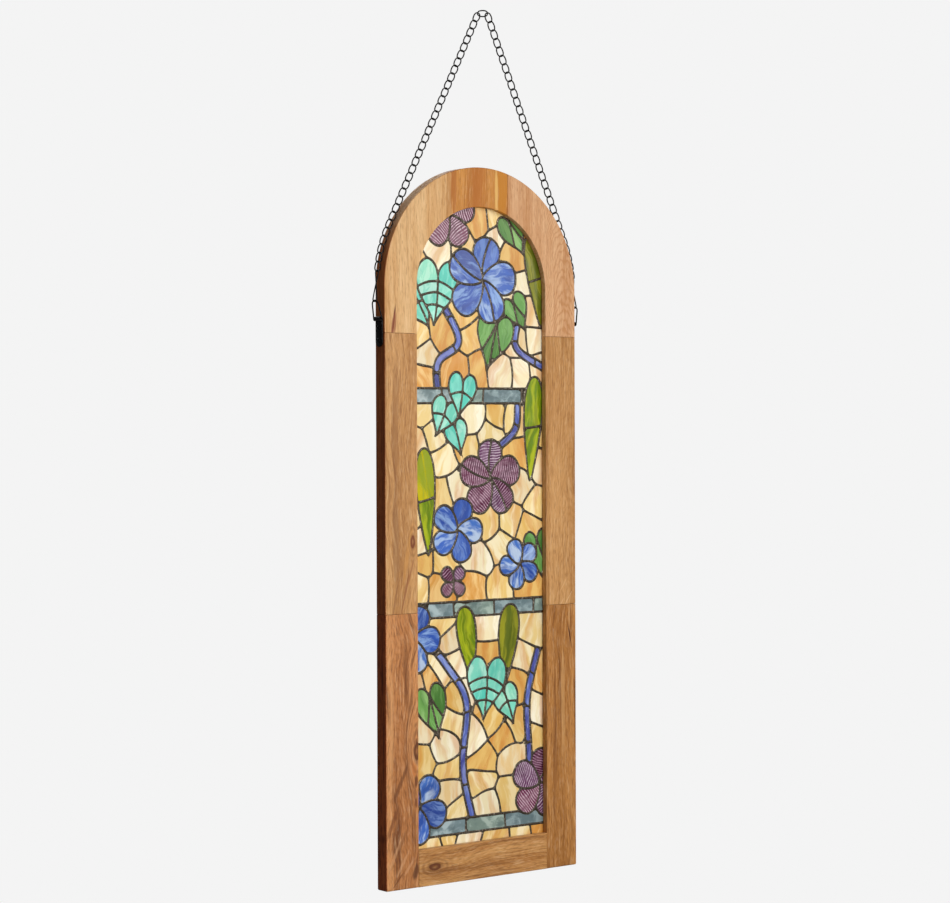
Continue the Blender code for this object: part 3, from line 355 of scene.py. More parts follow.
class Graph:
    """A node tree filled with short calls. An input takes a value or another node's output."""

    def __init__(self, tree):
        self.tree = tree

    def add(self, kind, inputs=None, **settings):
        made = self.tree.nodes.new(kind)
        for name, value in settings.items():
            setattr(made, name, value)
        for name, value in (inputs or {}).items():
            self.feed(made.inputs[name], value)
        return made

    def feed(self, socket, value):
        if isinstance(value, bpy.types.NodeSocket):
            self.tree.links.new(value, socket)
        else:
            socket.default_value = value

    def math(self, operation, *values):
        made = self.tree.nodes.new("ShaderNodeMath")
        made.operation = operation
        for socket, value in zip(made.inputs, values):
            self.feed(socket, value)
        return made.outputs[0]

    def plus(self, one, other):
        return self.math("ADD", one, other)

    def minus(self, one, other):
        return self.math("SUBTRACT", one, other)

    def times(self, one, other):
        return self.math("MULTIPLY", one, other)

    def vector(self, operation, *values):
        made = self.tree.nodes.new("ShaderNodeVectorMath")
        made.operation = operation
        for socket, value in zip(made.inputs, values):
            self.feed(socket, value)
        return made.outputs["Value"] if operation in ("LENGTH", "DISTANCE") else made.outputs[0]

    def mix(self, share, first, second, blend="MIX"):
        made = self.tree.nodes.new("ShaderNodeMix")
        made.data_type = "RGBA"
        made.blend_type = blend
        self.feed(made.inputs[0], share)
        self.feed(made.inputs[6], first)
        self.feed(made.inputs[7], second)
        return made.outputs[2]

    def span(self, value, low, high, to_low=0.0, to_high=1.0):
        """The value eased from one range to another."""
        made = self.add("ShaderNodeMapRange", {"Value": value, "From Min": low, "From Max": high,
                                               "To Min": to_low, "To Max": to_high},
                        interpolation_type="SMOOTHSTEP")
        return made.outputs["Result"]

    def noise(self, vector, scale, detail=3.0, roughness=0.5, distortion=0.0):
        made = self.add("ShaderNodeTexNoise", {"Vector": vector, "Scale": scale, "Detail": detail,
                                               "Roughness": roughness, "Distortion": distortion})
        return made.outputs[0]

    def stretch(self, vector, scale):
        return self.vector("MULTIPLY", vector, scale)

    def parts(self, vector):
        return self.add("ShaderNodeSeparateXYZ", {"Vector": vector}).outputs

    def joined(self, x, y, z):
        return self.add("ShaderNodeCombineXYZ", {"X": x, "Y": y, "Z": z}).outputs[0]

    def object_place(self):
        return self.add("ShaderNodeTexCoord").outputs["Object"]

    def relief(self, shader, strength, distance, height):
        """Bends the shader's normal by a bump of the height."""
        made = self.add("ShaderNodeBump", {"Strength": strength, "Distance": distance, "Height": height})
        self.feed(shader.inputs["Normal"], made.outputs[0])

    def effect(self, tree, inputs):
        """A node of a shared effect."""
        made = self.tree.nodes.new("ShaderNodeGroup")
        made.node_tree = tree
        for name, value in inputs.items():
            self.feed(made.inputs[name], value)
        return made.outputs


SOCKETS = {"vector": "NodeSocketVector", "colour": "NodeSocketColor", "value": "NodeSocketFloat"}


def new_effect(name, inputs, outputs):
    """An empty node group with named sockets, and its graph, input node and output node."""
    tree = bpy.data.node_groups.new(name, "ShaderNodeTree")
    for label, kind in inputs:
        tree.interface.new_socket(name=label, in_out="INPUT", socket_type=SOCKETS[kind])
    for label, kind in outputs:
        tree.interface.new_socket(name=label, in_out="OUTPUT", socket_type=SOCKETS[kind])
    graph = Graph(tree)
    return tree, graph, graph.add("NodeGroupInput").outputs, graph.add("NodeGroupOutput").inputs


def new_material(name):
    """A material with an empty graph and its Principled shader."""
    made = bpy.data.materials.new(name)
    made.use_nodes = True
    graph = Graph(made.node_tree)
    return made, graph, made.node_tree.nodes["Principled BSDF"]


def wood_grain_effect():
    """Grain that runs along Z, swaying sideways by a slow noise. Broad bands, strokes, dashes and fibres are
    noise stretched along the grain. The figure is a stack of arches: sine bands of height plus the square of
    the distance from its middle, each fading on one side."""
    tree, graph, given, out = new_effect(
        "wood_grain",
        [("Vector", "vector"), ("Light", "colour"), ("Dark", "colour"), ("Deep", "colour"),
         ("Streaks", "value"), ("Figure", "value"), ("Figure Middle", "value"), ("Sway", "value")],
        [("Color", "colour"), ("Height", "value"), ("Roughness", "value")])
    vector = given["Vector"]
    x, y, z = graph.parts(vector)
    slow = graph.noise(graph.stretch(vector, (7.0, 7.0, 4.5)), 1.0, 2.0)
    shift = graph.times(graph.minus(slow, 0.5), given["Sway"])
    bent = graph.joined(graph.plus(x, shift), y, z)
    broad = graph.noise(graph.stretch(bent, (46.0, 46.0, 2.2)), 1.0, 3.0, 0.55)
    band = graph.noise(graph.stretch(bent, (150.0, 150.0, 5.0)), 1.0, 4.0, 0.6)
    stroke = graph.noise(graph.stretch(bent, (410.0, 410.0, 30.0)), 1.0, 3.0, 0.55)
    dash = graph.noise(graph.stretch(bent, (800.0, 800.0, 95.0)), 1.0, 1.0, 0.5)
    fibre = graph.noise(graph.stretch(bent, (1500.0, 1500.0, 40.0)), 1.0, 2.0, 0.6)
    off = graph.minus(x, given["Figure Middle"])
    arch = graph.times(graph.times(off, off), 6500.0)
    warp = graph.times(graph.noise(graph.stretch(vector, (48.0, 48.0, 20.0)), 1.0, 4.0, 0.6), 4.4)
    phase = graph.plus(graph.plus(graph.times(z, 75.0), arch), warp)
    wave = graph.math("SINE", graph.times(phase, 6.5))
    wave = graph.math("POWER", graph.times(graph.plus(wave, 1.0), 0.5), 3.0)
    tone = graph.plus(graph.times(graph.span(broad, 0.36, 0.64), 0.62),
                      graph.times(graph.times(wave, given["Figure"]), 0.75))
    tone = graph.plus(tone, graph.times(graph.span(band, 0.42, 0.62), 0.30))
    colour = graph.mix(tone, given["Light"], given["Dark"])
    deep = graph.times(graph.span(band, 0.54, 0.70), given["Streaks"])
    colour = graph.mix(deep, colour, given["Deep"])
    deep = graph.times(graph.span(stroke, 0.53, 0.68), given["Streaks"])
    colour = graph.mix(graph.times(deep, 0.85), colour, given["Deep"])
    pale = graph.mix(0.5, given["Light"], (1.0, 0.80, 0.50, 1.0))
    colour = graph.mix(graph.span(stroke, 0.47, 0.33, 0.0, 0.30), colour, pale)
    colour = graph.mix(graph.span(dash, 0.56, 0.70, 0.0, 0.42), colour, given["Deep"])
    colour = graph.mix(graph.span(dash, 0.40, 0.30, 0.0, 0.08), colour, (1.0, 0.84, 0.60, 1.0))
    colour = graph.mix(graph.span(fibre, 0.50, 0.75, 0.0, 0.25), colour, given["Deep"])
    graph.feed(out["Color"], colour)
    depth = graph.plus(graph.times(fibre, 0.5), graph.times(stroke, 0.5))
    graph.feed(out["Height"], graph.minus(depth, graph.span(dash, 0.58, 0.72, 0.0, 0.5)))
    graph.feed(out["Roughness"], graph.span(band, 0.3, 0.7, 0.46, 0.60))
    return tree


def knot_effect():
    """A knot. Its mask falls from 1 at the middle to 0 at one radius, ragged by noise, with rings of growth
    around it. The vector comes out with the grain flowing round it: across the grain, distances shrink by
    1 - 1 / (r squared + 0.35)."""
    tree, graph, given, out = new_effect(
        "knot", [("Vector", "vector"), ("Middle", "vector"), ("Radii", "vector")],
        [("Vector", "vector"), ("Mask", "value"), ("Rim", "value")])
    offset = graph.vector("SUBTRACT", given["Vector"], given["Middle"])
    share = graph.vector("DIVIDE", offset, given["Radii"])
    x, _, z = graph.parts(share)
    flat = graph.joined(x, 0.0, z)
    ragged = graph.noise(graph.stretch(given["Vector"], (160.0, 160.0, 90.0)), 1.0, 3.0)
    radius = graph.plus(graph.vector("LENGTH", flat), graph.times(ragged, 0.5))
    radius = graph.minus(radius, 0.25)
    squared = graph.times(radius, radius)
    pull = graph.math("DIVIDE", -1.0, graph.plus(squared, 0.35))
    fade = graph.span(radius, 5.0, 1.5)
    shift = graph.times(graph.times(graph.parts(offset)[0], pull), fade)
    graph.feed(out["Vector"], graph.vector("ADD", given["Vector"], graph.joined(shift, 0.0, 0.0)))
    graph.feed(out["Mask"], graph.times(graph.span(radius, 1.0, 0.75), graph.span(radius, 0.0, 0.6, 0.45)))
    rings = graph.plus(graph.math("SINE", graph.times(radius, 8.0)), 1.0)
    rim = graph.times(graph.span(radius, 3.6, 1.0), graph.span(radius, 0.6, 1.0))
    graph.feed(out["Rim"], graph.times(rim, graph.times(rings, 0.5)))
    return tree


def patch_effect():
    """A slanted, ragged-edged patch: 1 inside an ellipse of the given radii, broken up along the grain."""
    tree, graph, given, out = new_effect(
        "patch", [("Vector", "vector"), ("Middle", "vector"), ("Radii", "vector"), ("Slant", "value")],
        [("Mask", "value")])
    x, _, z = graph.parts(graph.vector("SUBTRACT", given["Vector"], given["Middle"]))
    x = graph.minus(x, graph.times(z, given["Slant"]))
    share = graph.vector("DIVIDE", graph.joined(x, 0.0, z), given["Radii"])
    ragged = graph.noise(graph.stretch(given["Vector"], (330.0, 330.0, 26.0)), 1.0, 3.0)
    radius = graph.plus(graph.vector("LENGTH", share),
                        graph.times(graph.minus(ragged, 0.5), 1.3))
    graph.feed(out["Mask"], graph.span(radius, 1.05, 0.5))
    return tree


def outer_side_effect():
    """1 on the frame's narrow outer side, where the distance from its middle line, or from the arch's centre
    above that, reaches half the width. The mask lays painted shade on that side. It fades to a fifth up the
    arch, where the side is meant to look lit from above."""
    tree, graph, given, out = new_effect("outer_side", [("Vector", "vector")], [("Mask", "value")])
    x, _, z = graph.parts(given["Vector"])
    rise = graph.math("MAXIMUM", graph.minus(z, ARCH_CENTRE_HEIGHT + FRAME_Z), 0.0)
    reach = graph.vector("LENGTH", graph.joined(graph.minus(x, FRAME_X), 0.0, rise))
    side = graph.span(reach, HALF_WIDTH - 0.0010, HALF_WIDTH - 0.0002)
    fade = graph.minus(1.0, graph.times(graph.span(rise, 0.02, 0.12), 0.8))
    graph.feed(out["Mask"], graph.times(side, fade))
    return tree


def opal_effect():
    """Streaky opal glass. The flow vector holds metres across and along the pour. Streaks and wisps are
    noise stretched along it and bent by a slower noise. Ribs are sine bands across it, unevenly pale."""
    tree, graph, given, out = new_effect(
        "opal_streaks",
        [("Flow", "vector"), ("Tone", "colour"), ("Veil", "colour"), ("Third", "colour"),
         ("Streaks", "value"), ("Third Share", "value"), ("Across", "value"), ("Along", "value"),
         ("Ribs", "value")],
        [("Color", "colour"), ("Height", "value"), ("Streak", "value")])
    flow = given["Flow"]
    bend = graph.noise(graph.stretch(flow, (26.0, 26.0, 1.0)), 1.0, 2.0)
    x, y, z = graph.parts(flow)
    bent_x = graph.plus(x, graph.times(bend, 0.022))
    scaled = graph.joined(graph.times(bent_x, given["Across"]),
                          graph.times(y, given["Along"]), z)
    streak = graph.noise(scaled, 1.0, 4.0, 0.55, 0.35)
    wisp = graph.noise(graph.stretch(scaled, (2.6, 1.7, 1.0)), 1.0, 3.0, 0.6, 0.5)
    elsewhere = graph.vector("ADD", graph.stretch(scaled, (0.7, 0.7, 1.0)), (3.7, 9.1, 0.0))
    third = graph.noise(elsewhere, 1.0, 3.0, 0.5)
    colour = graph.mix(graph.times(graph.span(streak, 0.42, 0.62), given["Streaks"]),
                       given["Tone"], given["Veil"])
    colour = graph.mix(graph.times(graph.span(third, 0.49, 0.66), given["Third Share"]),
                       colour, given["Third"])
    wisps = graph.times(graph.span(wisp, 0.54, 0.72), graph.times(given["Streaks"], 0.56))
    colour = graph.mix(wisps, colour, given["Veil"])
    rib = graph.math("SINE", graph.plus(graph.times(y, 1950.0), graph.times(bend, 26.0)))
    rib = graph.times(graph.span(rib, 0.0, 0.85), graph.span(wisp, 0.36, 0.60, 0.25, 0.95))
    colour = graph.mix(graph.times(rib, given["Ribs"]), colour, given["Veil"])
    graph.feed(out["Color"], colour)
    ripple = graph.noise(graph.stretch(flow, (150.0, 60.0, 1.0)), 1.0, 2.0, 0.5)
    graph.feed(out["Height"], graph.plus(graph.times(ripple, 0.7),
                                         graph.times(wisp, 0.3)))
    graph.feed(out["Streak"], streak)
    return tree


WOOD_GRAIN = wood_grain_effect()
KNOT = knot_effect()
PATCH = patch_effect()
OUTER_SIDE = outer_side_effect()
OPAL = opal_effect()


def wood_material(name, light, dark, deep, offset, streaks, figure, middle, sway, level=False, second=None,
                  knots=(), patches=()):
    """Satin-varnished hardwood of one board. The second tones take over from one x to another. Each knot is
    (x, height, radius across, radius along, colour, strength), from the frame's bottom centre. Each patch is
    (x, height, half width, half length, slant, colour, strength)."""
    made, graph, shader = new_material(name)
    place = graph.object_place()
    vector = place
    if level:
        quarter_turn = (0, math.radians(90), 0)
        vector = graph.add("ShaderNodeMapping", {"Vector": place, "Rotation": quarter_turn}).outputs[0]
    masks = []
    for x, height, across, along, tone, strength in knots:
        spot = in_row((x, 0, height))
        middle_of = (spot[2], 0, -spot[0]) if level else (spot[0], 0, spot[2])
        knot = graph.effect(KNOT, {"Vector": vector, "Middle": middle_of, "Radii": (across, 1.0, along)})
        vector = knot["Vector"]
        masks.append((knot["Mask"], knot["Rim"], tone, strength))
    light_in, dark_in = linear(light), linear(dark)
    if second:
        second_light, second_dark, start, end = second
        x = graph.parts(place)[0]
        wave = graph.noise(graph.stretch(place, (40.0, 40.0, 6.0)), 1.0, 3.0)
        x = graph.plus(x, graph.times(graph.minus(wave, 0.5), 0.03))
        share = graph.span(x, start + FRAME_X, end + FRAME_X)
        light_in = graph.mix(share, light_in, linear(second_light))
        dark_in = graph.mix(share, dark_in, linear(second_dark))
    grain = graph.effect(WOOD_GRAIN, {"Vector": graph.vector("ADD", vector, offset), "Light": light_in,
                                      "Dark": dark_in, "Deep": linear(deep), "Streaks": streaks,
                                      "Figure": figure, "Figure Middle": middle, "Sway": sway})
    colour = grain["Color"]
    for x, height, across, along, slant, tone, strength in patches:
        spot = in_row((x, 0, height))
        mask = graph.effect(PATCH, {"Vector": place, "Middle": tuple(spot), "Radii": (across, 1.0, along),
                                    "Slant": slant})["Mask"]
        colour = graph.mix(graph.times(mask, strength), colour, linear(tone))
    for mask, rim, tone, strength in masks:
        colour = graph.mix(graph.times(rim, 0.45 * strength), colour, linear(deep))
        colour = graph.mix(graph.times(mask, strength), colour, linear(tone))
    # Painted shade: the narrow outer side is multiplied by a dark brown, less so up the arch, standing in for
    # the shade on that side. The same mask also makes the side duller
    side = graph.effect(OUTER_SIDE, {"Vector": place})["Mask"]
    side_shaded = graph.mix(1.0, colour, SIDE_PAINTED_SHADE, "MULTIPLY")
    colour = graph.mix(graph.times(side, SIDE_PAINTED_SHADE_SHARE), colour, side_shaded)
    graph.feed(shader.inputs["Base Color"], colour)
    dull = graph.math("MAXIMUM", grain["Roughness"], graph.times(side, SIDE_ROUGHNESS))
    graph.feed(shader.inputs["Roughness"], dull)
    graph.relief(shader, 0.25, 0.0003, grain["Height"])
    shader.inputs["Specular IOR Level"].default_value = 0.32
    shader.inputs["Coat Weight"].default_value = 0.04
    shader.inputs["Coat Roughness"].default_value = 0.35
    return made


def glass_material(family):
    """Opalescent glass of one kind, its tones and pour direction read from the tiles' attributes."""
    streaks, third, third_share, across, along, ribs = {
        "cream": (0.80, "#D08630", 0.50, 75.0, 15.0, 0.0),
        "blue": (0.80, "#22398A", 0.55, 120.0, 34.0, 0.0),
        "teal": (0.60, "#46B2A2", 0.40, 90.0, 34.0, 0.0),
        "green": (0.60, "#3E7230", 0.50, 130.0, 18.0, 0.0),
        "lime": (0.85, "#4A5606", 0.45, 105.0, 13.0, 0.0),
        "plum": (0.12, "#3A142C", 0.45, 70.0, 40.0, 0.80),
        "indigo": (0.75, "#2C306E", 0.45, 150.0, 26.0, 0.0),
        "slate": (0.75, "#54666A", 0.60, 60.0, 46.0, 0.0),
    }[family]
    made, graph, shader = new_material(f"{family}_opal_glass")
    tone = graph.add("ShaderNodeAttribute", attribute_name="tone").outputs["Color"]
    veil = graph.add("ShaderNodeAttribute", attribute_name="veil").outputs["Color"]
    flow = graph.add("ShaderNodeAttribute", attribute_name="flow").outputs["Vector"]
    opal = graph.effect(OPAL, {"Flow": flow, "Tone": tone, "Veil": veil, "Third": linear(third),
                               "Streaks": streaks, "Third Share": third_share, "Across": across,
                               "Along": along, "Ribs": ribs})
    graph.feed(shader.inputs["Base Color"], opal["Color"])
    graph.relief(shader, 0.25, 0.0005, opal["Height"])
    graph.feed(shader.inputs["Roughness"], graph.span(opal["Streak"], 0.3, 0.7, 0.20, 0.32))
    shader.inputs["IOR"].default_value = 1.5
    return made


def solder_material():
    """Solder under a dark patina, nearly black, with grey noise spots that are painted highlights standing in
    for the solder's glints.
    """
    made, graph, shader = new_material("dark_patina_painted_glint_solder")
    place = graph.object_place()
    cloud = graph.noise(place, 420.0, 4.0, 0.65)
    grit = graph.noise(place, 1900.0, 2.0, 0.5)
    # Painted highlights: grey spots from a noise stand in for glints on the solder. The dark grit is patina
    colour = graph.mix(graph.span(cloud, 0.52, 0.72), linear("#4A4238"), linear("#A39B8E"))
    colour = graph.mix(graph.span(grit, 0.55, 0.75, 0.0, 0.6), colour, linear("#2C2620"))
    graph.feed(shader.inputs["Base Color"], colour)
    graph.feed(shader.inputs["Roughness"], graph.span(cloud, 0.3, 0.7, 0.52, 0.34))
    shader.inputs["Metallic"].default_value = 0.7
    height = graph.plus(cloud, graph.times(grit, 0.3))
    graph.relief(shader, 0.5, 0.0005, height)
    return made


def steel_material(name, tone, rub, roughness):
    """Blackened steel: a dark coat with fine mottling, rubbed a little lighter in places."""
    made, graph, shader = new_material(name)
    place = graph.object_place()
    cloud = graph.noise(place, 260.0, 4.0, 0.6)
    grit = graph.noise(place, 2400.0, 2.0, 0.5)
    colour = graph.mix(graph.span(cloud, 0.56, 0.76, 0.0, 0.8), linear(tone), linear(rub))
    graph.feed(shader.inputs["Base Color"], colour)
    graph.feed(shader.inputs["Roughness"], graph.span(grit, 0.3, 0.7, roughness, roughness + 0.14))
    shader.inputs["Metallic"].default_value = 0.8
    graph.relief(shader, 0.25, 0.0002, grit)
    return made


# Wooden frame


def member_profile(inner, outer):
    """A frame member's section as (distance from the middle, depth): the reveal, the front, the outer side
    and the back, with the groove that holds the panel. Its edges are rounded."""
    front, back = PANEL_MID_Y - GROOVE_HALF, PANEL_MID_Y + GROOVE_HALF
    corners = [(inner, front), (inner, FRONT_Y), (outer, FRONT_Y), (outer, BACK_Y), (inner, BACK_Y),
               (inner, back), (inner + GROOVE_DEPTH, back), (inner + GROOVE_DEPTH, front)]
    radii = [0.0002, INNER_ROUNDING, OUTER_ROUNDING, OUTER_ROUNDING, INNER_ROUNDING, 0.0002, 0.0002, 0.0002]
    return rounded_corners(corners, radii, 6, margin=0.00035)


def drawn_in(profile, distance, inner, outer, keep_inner=False):
    """A member's section with its faces drawn in by a distance, for the eased end of a board."""
    result = profile.copy()
    half = FRAME_THICKNESS / 2
    depth = np.clip((np.abs(result[:, 1]) - half + EASE_REACH) / EASE_REACH, 0, 1)
    result[:, 1] -= np.sign(result[:, 1]) * distance * depth
    result[:, 0] -= distance * np.clip((result[:, 0] - outer + EASE_REACH) / EASE_REACH, 0, 1)
    if not keep_inner:
        near = np.clip((inner + EASE_REACH - result[:, 0]) / EASE_REACH, 0, 1)
        result[:, 0] += distance * near * (np.abs(result[:, 1]) > GROOVE_HALF + 0.001)
    return result


def arch_board(sign):
    """One half of the arch: each point of the section runs up its straight tail, then round its own circle
    to the upright seam, where radius times cosine of the turn equals the seam's x."""
    profile = member_profile(OPENING_RADIUS, HALF_WIDTH)
    eased = drawn_in(profile, JOINT_EASE, OPENING_RADIUS, HALF_WIDTH)
    foot = UPPER_JOINT_HEIGHT + CLEARANCE / 2
    seam = ARCH_SEAM_X * sign - CLEARANCE / 2
    sections = []
    for height, section in ((foot, eased), (foot + JOINT_EASE, profile), (foot + 0.004, profile),
                            (foot + 0.03, profile)):
        sections.append(np.column_stack([np.full(len(section), -1.0) * section[:, 0], section[:, 1],
                                         np.full(len(section), height)]))
    runs = [(profile, seam - JOINT_EASE, s) for s in np.linspace(0, 1, ARCH_STATIONS)]
    runs.append((eased, seam, 1.0))
    for section, end_x, share in runs:
        radius = section[:, 0]
        turn = math.pi + share * (np.arccos(np.clip(end_x / radius, -1, 1)) - math.pi)
        sections.append(np.column_stack([radius * np.cos(turn), section[:, 1],
                                         ARCH_CENTRE_HEIGHT + radius * np.sin(turn)]))
    sections = np.array(sections)
    sections[:, :, 0] *= sign
    return lofted(in_row(sections))


def straight_board(inner, outer, ends, laid, foot_rounding=0.0):
    """A straight member: its section between two ends, eased at the joints, or rounded at a free foot by a
    quarter circle that draws the section in as it goes down."""
    profile = member_profile(inner, outer)
    eased = drawn_in(profile, JOINT_EASE, inner, outer, keep_inner=True)
    start, end = ends
    if foot_rounding:
        stations = [(start + foot_rounding * (1 - math.cos(t)),
                     drawn_in(profile, foot_rounding * (1 - math.sin(t)), inner, outer, keep_inner=True))
                    for t in np.linspace(0, math.pi / 2, 7)]
    else:
        stations = [(start, eased), (start + JOINT_EASE, profile)]
    stations += [(stations[-1][0] + 0.004, profile), (end - 0.004, profile), (end - JOINT_EASE, profile),
                 (end, eased)]
    return lofted(in_row([laid(section, run) for run, section in stations]))


def build_frame():
    """The seven boards of the frame, each with its own grain."""
    arch_left = wood_material(
        "light_mango_wood", "#DEB784", "#CB985E", "#98622A", (0.31, 0.0, 0.12), 0.42, 0.28, -0.20, 0.02,
        second=("#D09042", "#A9641E", -0.060, -0.040),
        patches=[(-0.046, 0.90, 0.0050, 0.060, 0.0, "#A8601C", 0.75),
                 (-0.006, 0.90, 0.0130, 0.065, 0.0, "#B0661E", 0.70),
                 (0.033, 0.90, 0.0110, 0.080, 0.0, "#C07C1E", 0.85),
                 (0.024, 0.88, 0.0030, 0.050, 0.0, "#F0C878", 0.55),
                 (-0.1415, 0.718, 0.0017, 0.023, 0.15, "#5A1E12", 0.95),
                 (-0.1420, 0.710, 0.0038, 0.020, 0.15, "#8A4426", 0.70)])
    arch_right = wood_material(
        "pink_mango_wood", "#D8AA80", "#BE8656", "#9C6234", (1.7, 0.0, 0.55), 0.18, 0.85, 1.7 + 0.128, 0.015)
    upper_left = wood_material(
        "brown_mango_wood", "#CC9A62", "#AE7A44", "#7A4A24", (2.9, 0.0, 0.30), 0.62, 0.25, 2.9 - 0.125, 0.06,
        knots=[(-0.1135, 0.437, 0.0040, 0.0100, "#6E2E16", 0.9)],
        patches=[(-0.140, 0.590, 0.0060, 0.100, 0.0, "#8E5E34", 0.45),
                 (-0.140, 0.440, 0.0060, 0.070, 0.0, "#9A7048", 0.55),
                 (-0.122, 0.420, 0.0040, 0.050, 0.2, "#C88C44", 0.45),
                 (-0.1255, 0.374, 0.0018, 0.036, 0.24, "#844A26", 0.70),
                 (-0.1415, 0.364, 0.0016, 0.030, 0.20, "#8A5A32", 0.60),
                 (-0.1180, 0.395, 0.0014, 0.024, 0.30, "#8E522C", 0.55)])
    upper_right = wood_material(
        "tan_mango_wood", "#CA9860", "#AE7A42", "#7C4C22", (4.3, 0.0, 0.77), 0.45, 0.35, 4.3 + 0.14, 0.03,
        patches=[(0.1420, 0.352, 0.0012, 0.013, 0.70, "#E2BC8E", 0.55),
                 (0.1300, 0.346, 0.0012, 0.012, 0.70, "#E2BC8E", 0.50),
                 (0.1350, 0.372, 0.0010, 0.010, 0.65, "#DEB586", 0.45)])
    lower_left = wood_material(
        "red_mango_wood", "#D2925A", "#AA6A36", "#562A12", (5.1, 0.0, 0.21), 0.70, 0.30, 5.1 - 0.15, 0.09,
        knots=[(-0.1085, 0.172, 0.0050, 0.0140, "#54260E", 0.9)],
        patches=[(-0.1130, 0.150, 0.0045, 0.012, 0.0, "#C4763A", 0.70),
                 (-0.1095, 0.134, 0.0032, 0.010, 0.0, "#5A2A12", 0.80),
                 (-0.1100, 0.108, 0.0026, 0.008, 0.0, "#6A3418", 0.75),
                 (-0.1340, 0.134, 0.0042, 0.028, 0.50, "#5A2E14", 0.60),
                 (-0.1480, 0.082, 0.0040, 0.026, 0.45, "#6A3618", 0.55),
                 (-0.1420, 0.046, 0.0034, 0.024, 0.50, "#D8A070", 0.45),
                 (-0.1320, 0.060, 0.0036, 0.022, 0.50, "#70401E", 0.50),
                 (-0.1300, 0.034, 0.0030, 0.020, 0.60, "#DCA878", 0.42),
                 (-0.1220, 0.026, 0.0026, 0.014, 0.80, "#D8A478", 0.40),
                 (-0.1370, 0.014, 0.0018, 0.014, 0.90, "#6A3618", 0.65),
                 (-0.1110, 0.020, 0.0050, 0.012, 0.20, "#502812", 0.80),
                 (-0.1480, 0.200, 0.0035, 0.090, 0.0, "#D09A66", 0.45),
                 (-0.1250, 0.270, 0.0050, 0.060, -0.05, "#74431F", 0.50)])
    lower_right = wood_material(
        "gold_mango_wood", "#BE8446", "#9C642A", "#643612", (6.6, 0.0, 0.43), 0.62, 0.25, 6.6 + 0.12, 0.04,
        patches=[(0.1455, 0.307, 0.0016, 0.019, -0.22, "#4A200E", 0.95),
                 (0.120, 0.150, 0.0040, 0.120, 0.0, "#7C4A20", 0.50),
                 (0.134, 0.210, 0.0040, 0.110, 0.0, "#D0A068", 0.45)])
    rail = wood_material(
        "level_mango_wood", "#CC985C", "#AE743A", "#66391A", (7.7, 0.0, 0.63), 0.52, 0.35, 7.7 - 1.09, 0.05,
        level=True, knots=[(-0.0800, 0.0235, 0.0055, 0.0110, "#5E2E14", 0.95)])
    present(add_piece("arch_left_board", *arch_board(1), [arch_left]), "tan_wood", "arch_left")
    present(add_piece("arch_right_board", *arch_board(-1), [arch_right]), "tan_wood", "arch_right")
    woods = {"upper_left": upper_left, "upper_right": upper_right, "lower_left": lower_left,
             "lower_right": lower_right}
    for side, sign in (("left", -1), ("right", 1)):
        def upright(section, run, sign=sign):
            return np.column_stack([sign * section[:, 0], section[:, 1], np.full(len(section), run)])
        upper = straight_board(OPENING_RADIUS, HALF_WIDTH, (LOWER_JOINT_HEIGHT + CLEARANCE / 2,
                                                            UPPER_JOINT_HEIGHT - CLEARANCE / 2), upright)
        lower = straight_board(OPENING_RADIUS, HALF_WIDTH, (0.0, LOWER_JOINT_HEIGHT - CLEARANCE / 2),
                               upright, foot_rounding=0.002)
        for level, shape in (("upper", upper), ("lower", lower)):
            piece = add_piece(f"stile_{level}_{side}_board", *shape, [woods[f"{level}_{side}"]])
            present(piece, "tan_wood", f"stile_{level}_{side}")

    def level_run(section, run):
        return np.column_stack([np.full(len(section), run), section[:, 1], RAIL_HEIGHT - section[:, 0]])
    reach = OPENING_RADIUS - CLEARANCE
    shape = straight_board(0.0, RAIL_HEIGHT, (-reach, reach), level_run)
    present(add_piece("bottom_rail_board", *shape, [rail]), "tan_wood", "bottom_rail")


# Design


def on_sheet(spot):
    """A place of the design in the sheet's units."""
    return np.array([spot[0], spot[1] * SHEET_PROPORTION])


def turned(points, spot, turn):
    """Local outline points, +y up, turned clockwise by degrees and moved to their place."""
    angle = math.radians(turn)
    matrix = np.array([[math.cos(angle), -math.sin(angle)], [math.sin(angle), math.cos(angle)]])
    return np.asarray(points) @ matrix + on_sheet(spot)


def on_panel(points):
    """Points of the sheet as metres from the frame's bottom centre: the arch keeps its round form, the
    straight part below it takes the panel's length."""
    x, y = np.asarray(points).T
    across = PANEL_RADIUS / SHEET_RADIUS
    along = (ARCH_CENTRE_HEIGHT - PANEL_FOOT_HEIGHT) / (SHEET_ARCH_CENTRE - SHEET_FOOT)
    rise = y - SHEET_ARCH_CENTRE
    return np.column_stack([x * across, ARCH_CENTRE_HEIGHT + rise * np.where(rise > 0, across, along)])


def petal_outline(length, steps):
    """A round-ended drop that starts at the blossom's centre."""
    turn = np.linspace(0, 2 * math.pi, steps, endpoint=False)
    along = (1 - np.cos(turn)) / 2
    across = np.sin(turn) * (0.24 + 0.26 * along)
    return np.column_stack([across, along]) * length


def heart_outline(length, width, steps):
    """A heart leaf, its notch at the stalk and its tip at the length."""
    turn = np.linspace(0, 2 * math.pi, steps, endpoint=False)
    across = np.sin(turn) ** 3
    fall = 13 * np.cos(turn) - 5 * np.cos(2 * turn) - 2 * np.cos(3 * turn) - np.cos(4 * turn)
    return np.column_stack([across * width / 2, (5 - fall) / 22 * length])


def long_leaf_outline(length, width, steps):
    """A long leaf, blunt at its stalk and pointed at its tip."""
    share = (1 - np.cos(np.linspace(0, math.pi, steps))) / 2
    half = 1.05 * width * np.sqrt(share * (1 - share)) * (1.35 - share)
    side = np.column_stack([half, share * length])
    return np.vstack([side, side[-2:0:-1] * [-1, 1]])


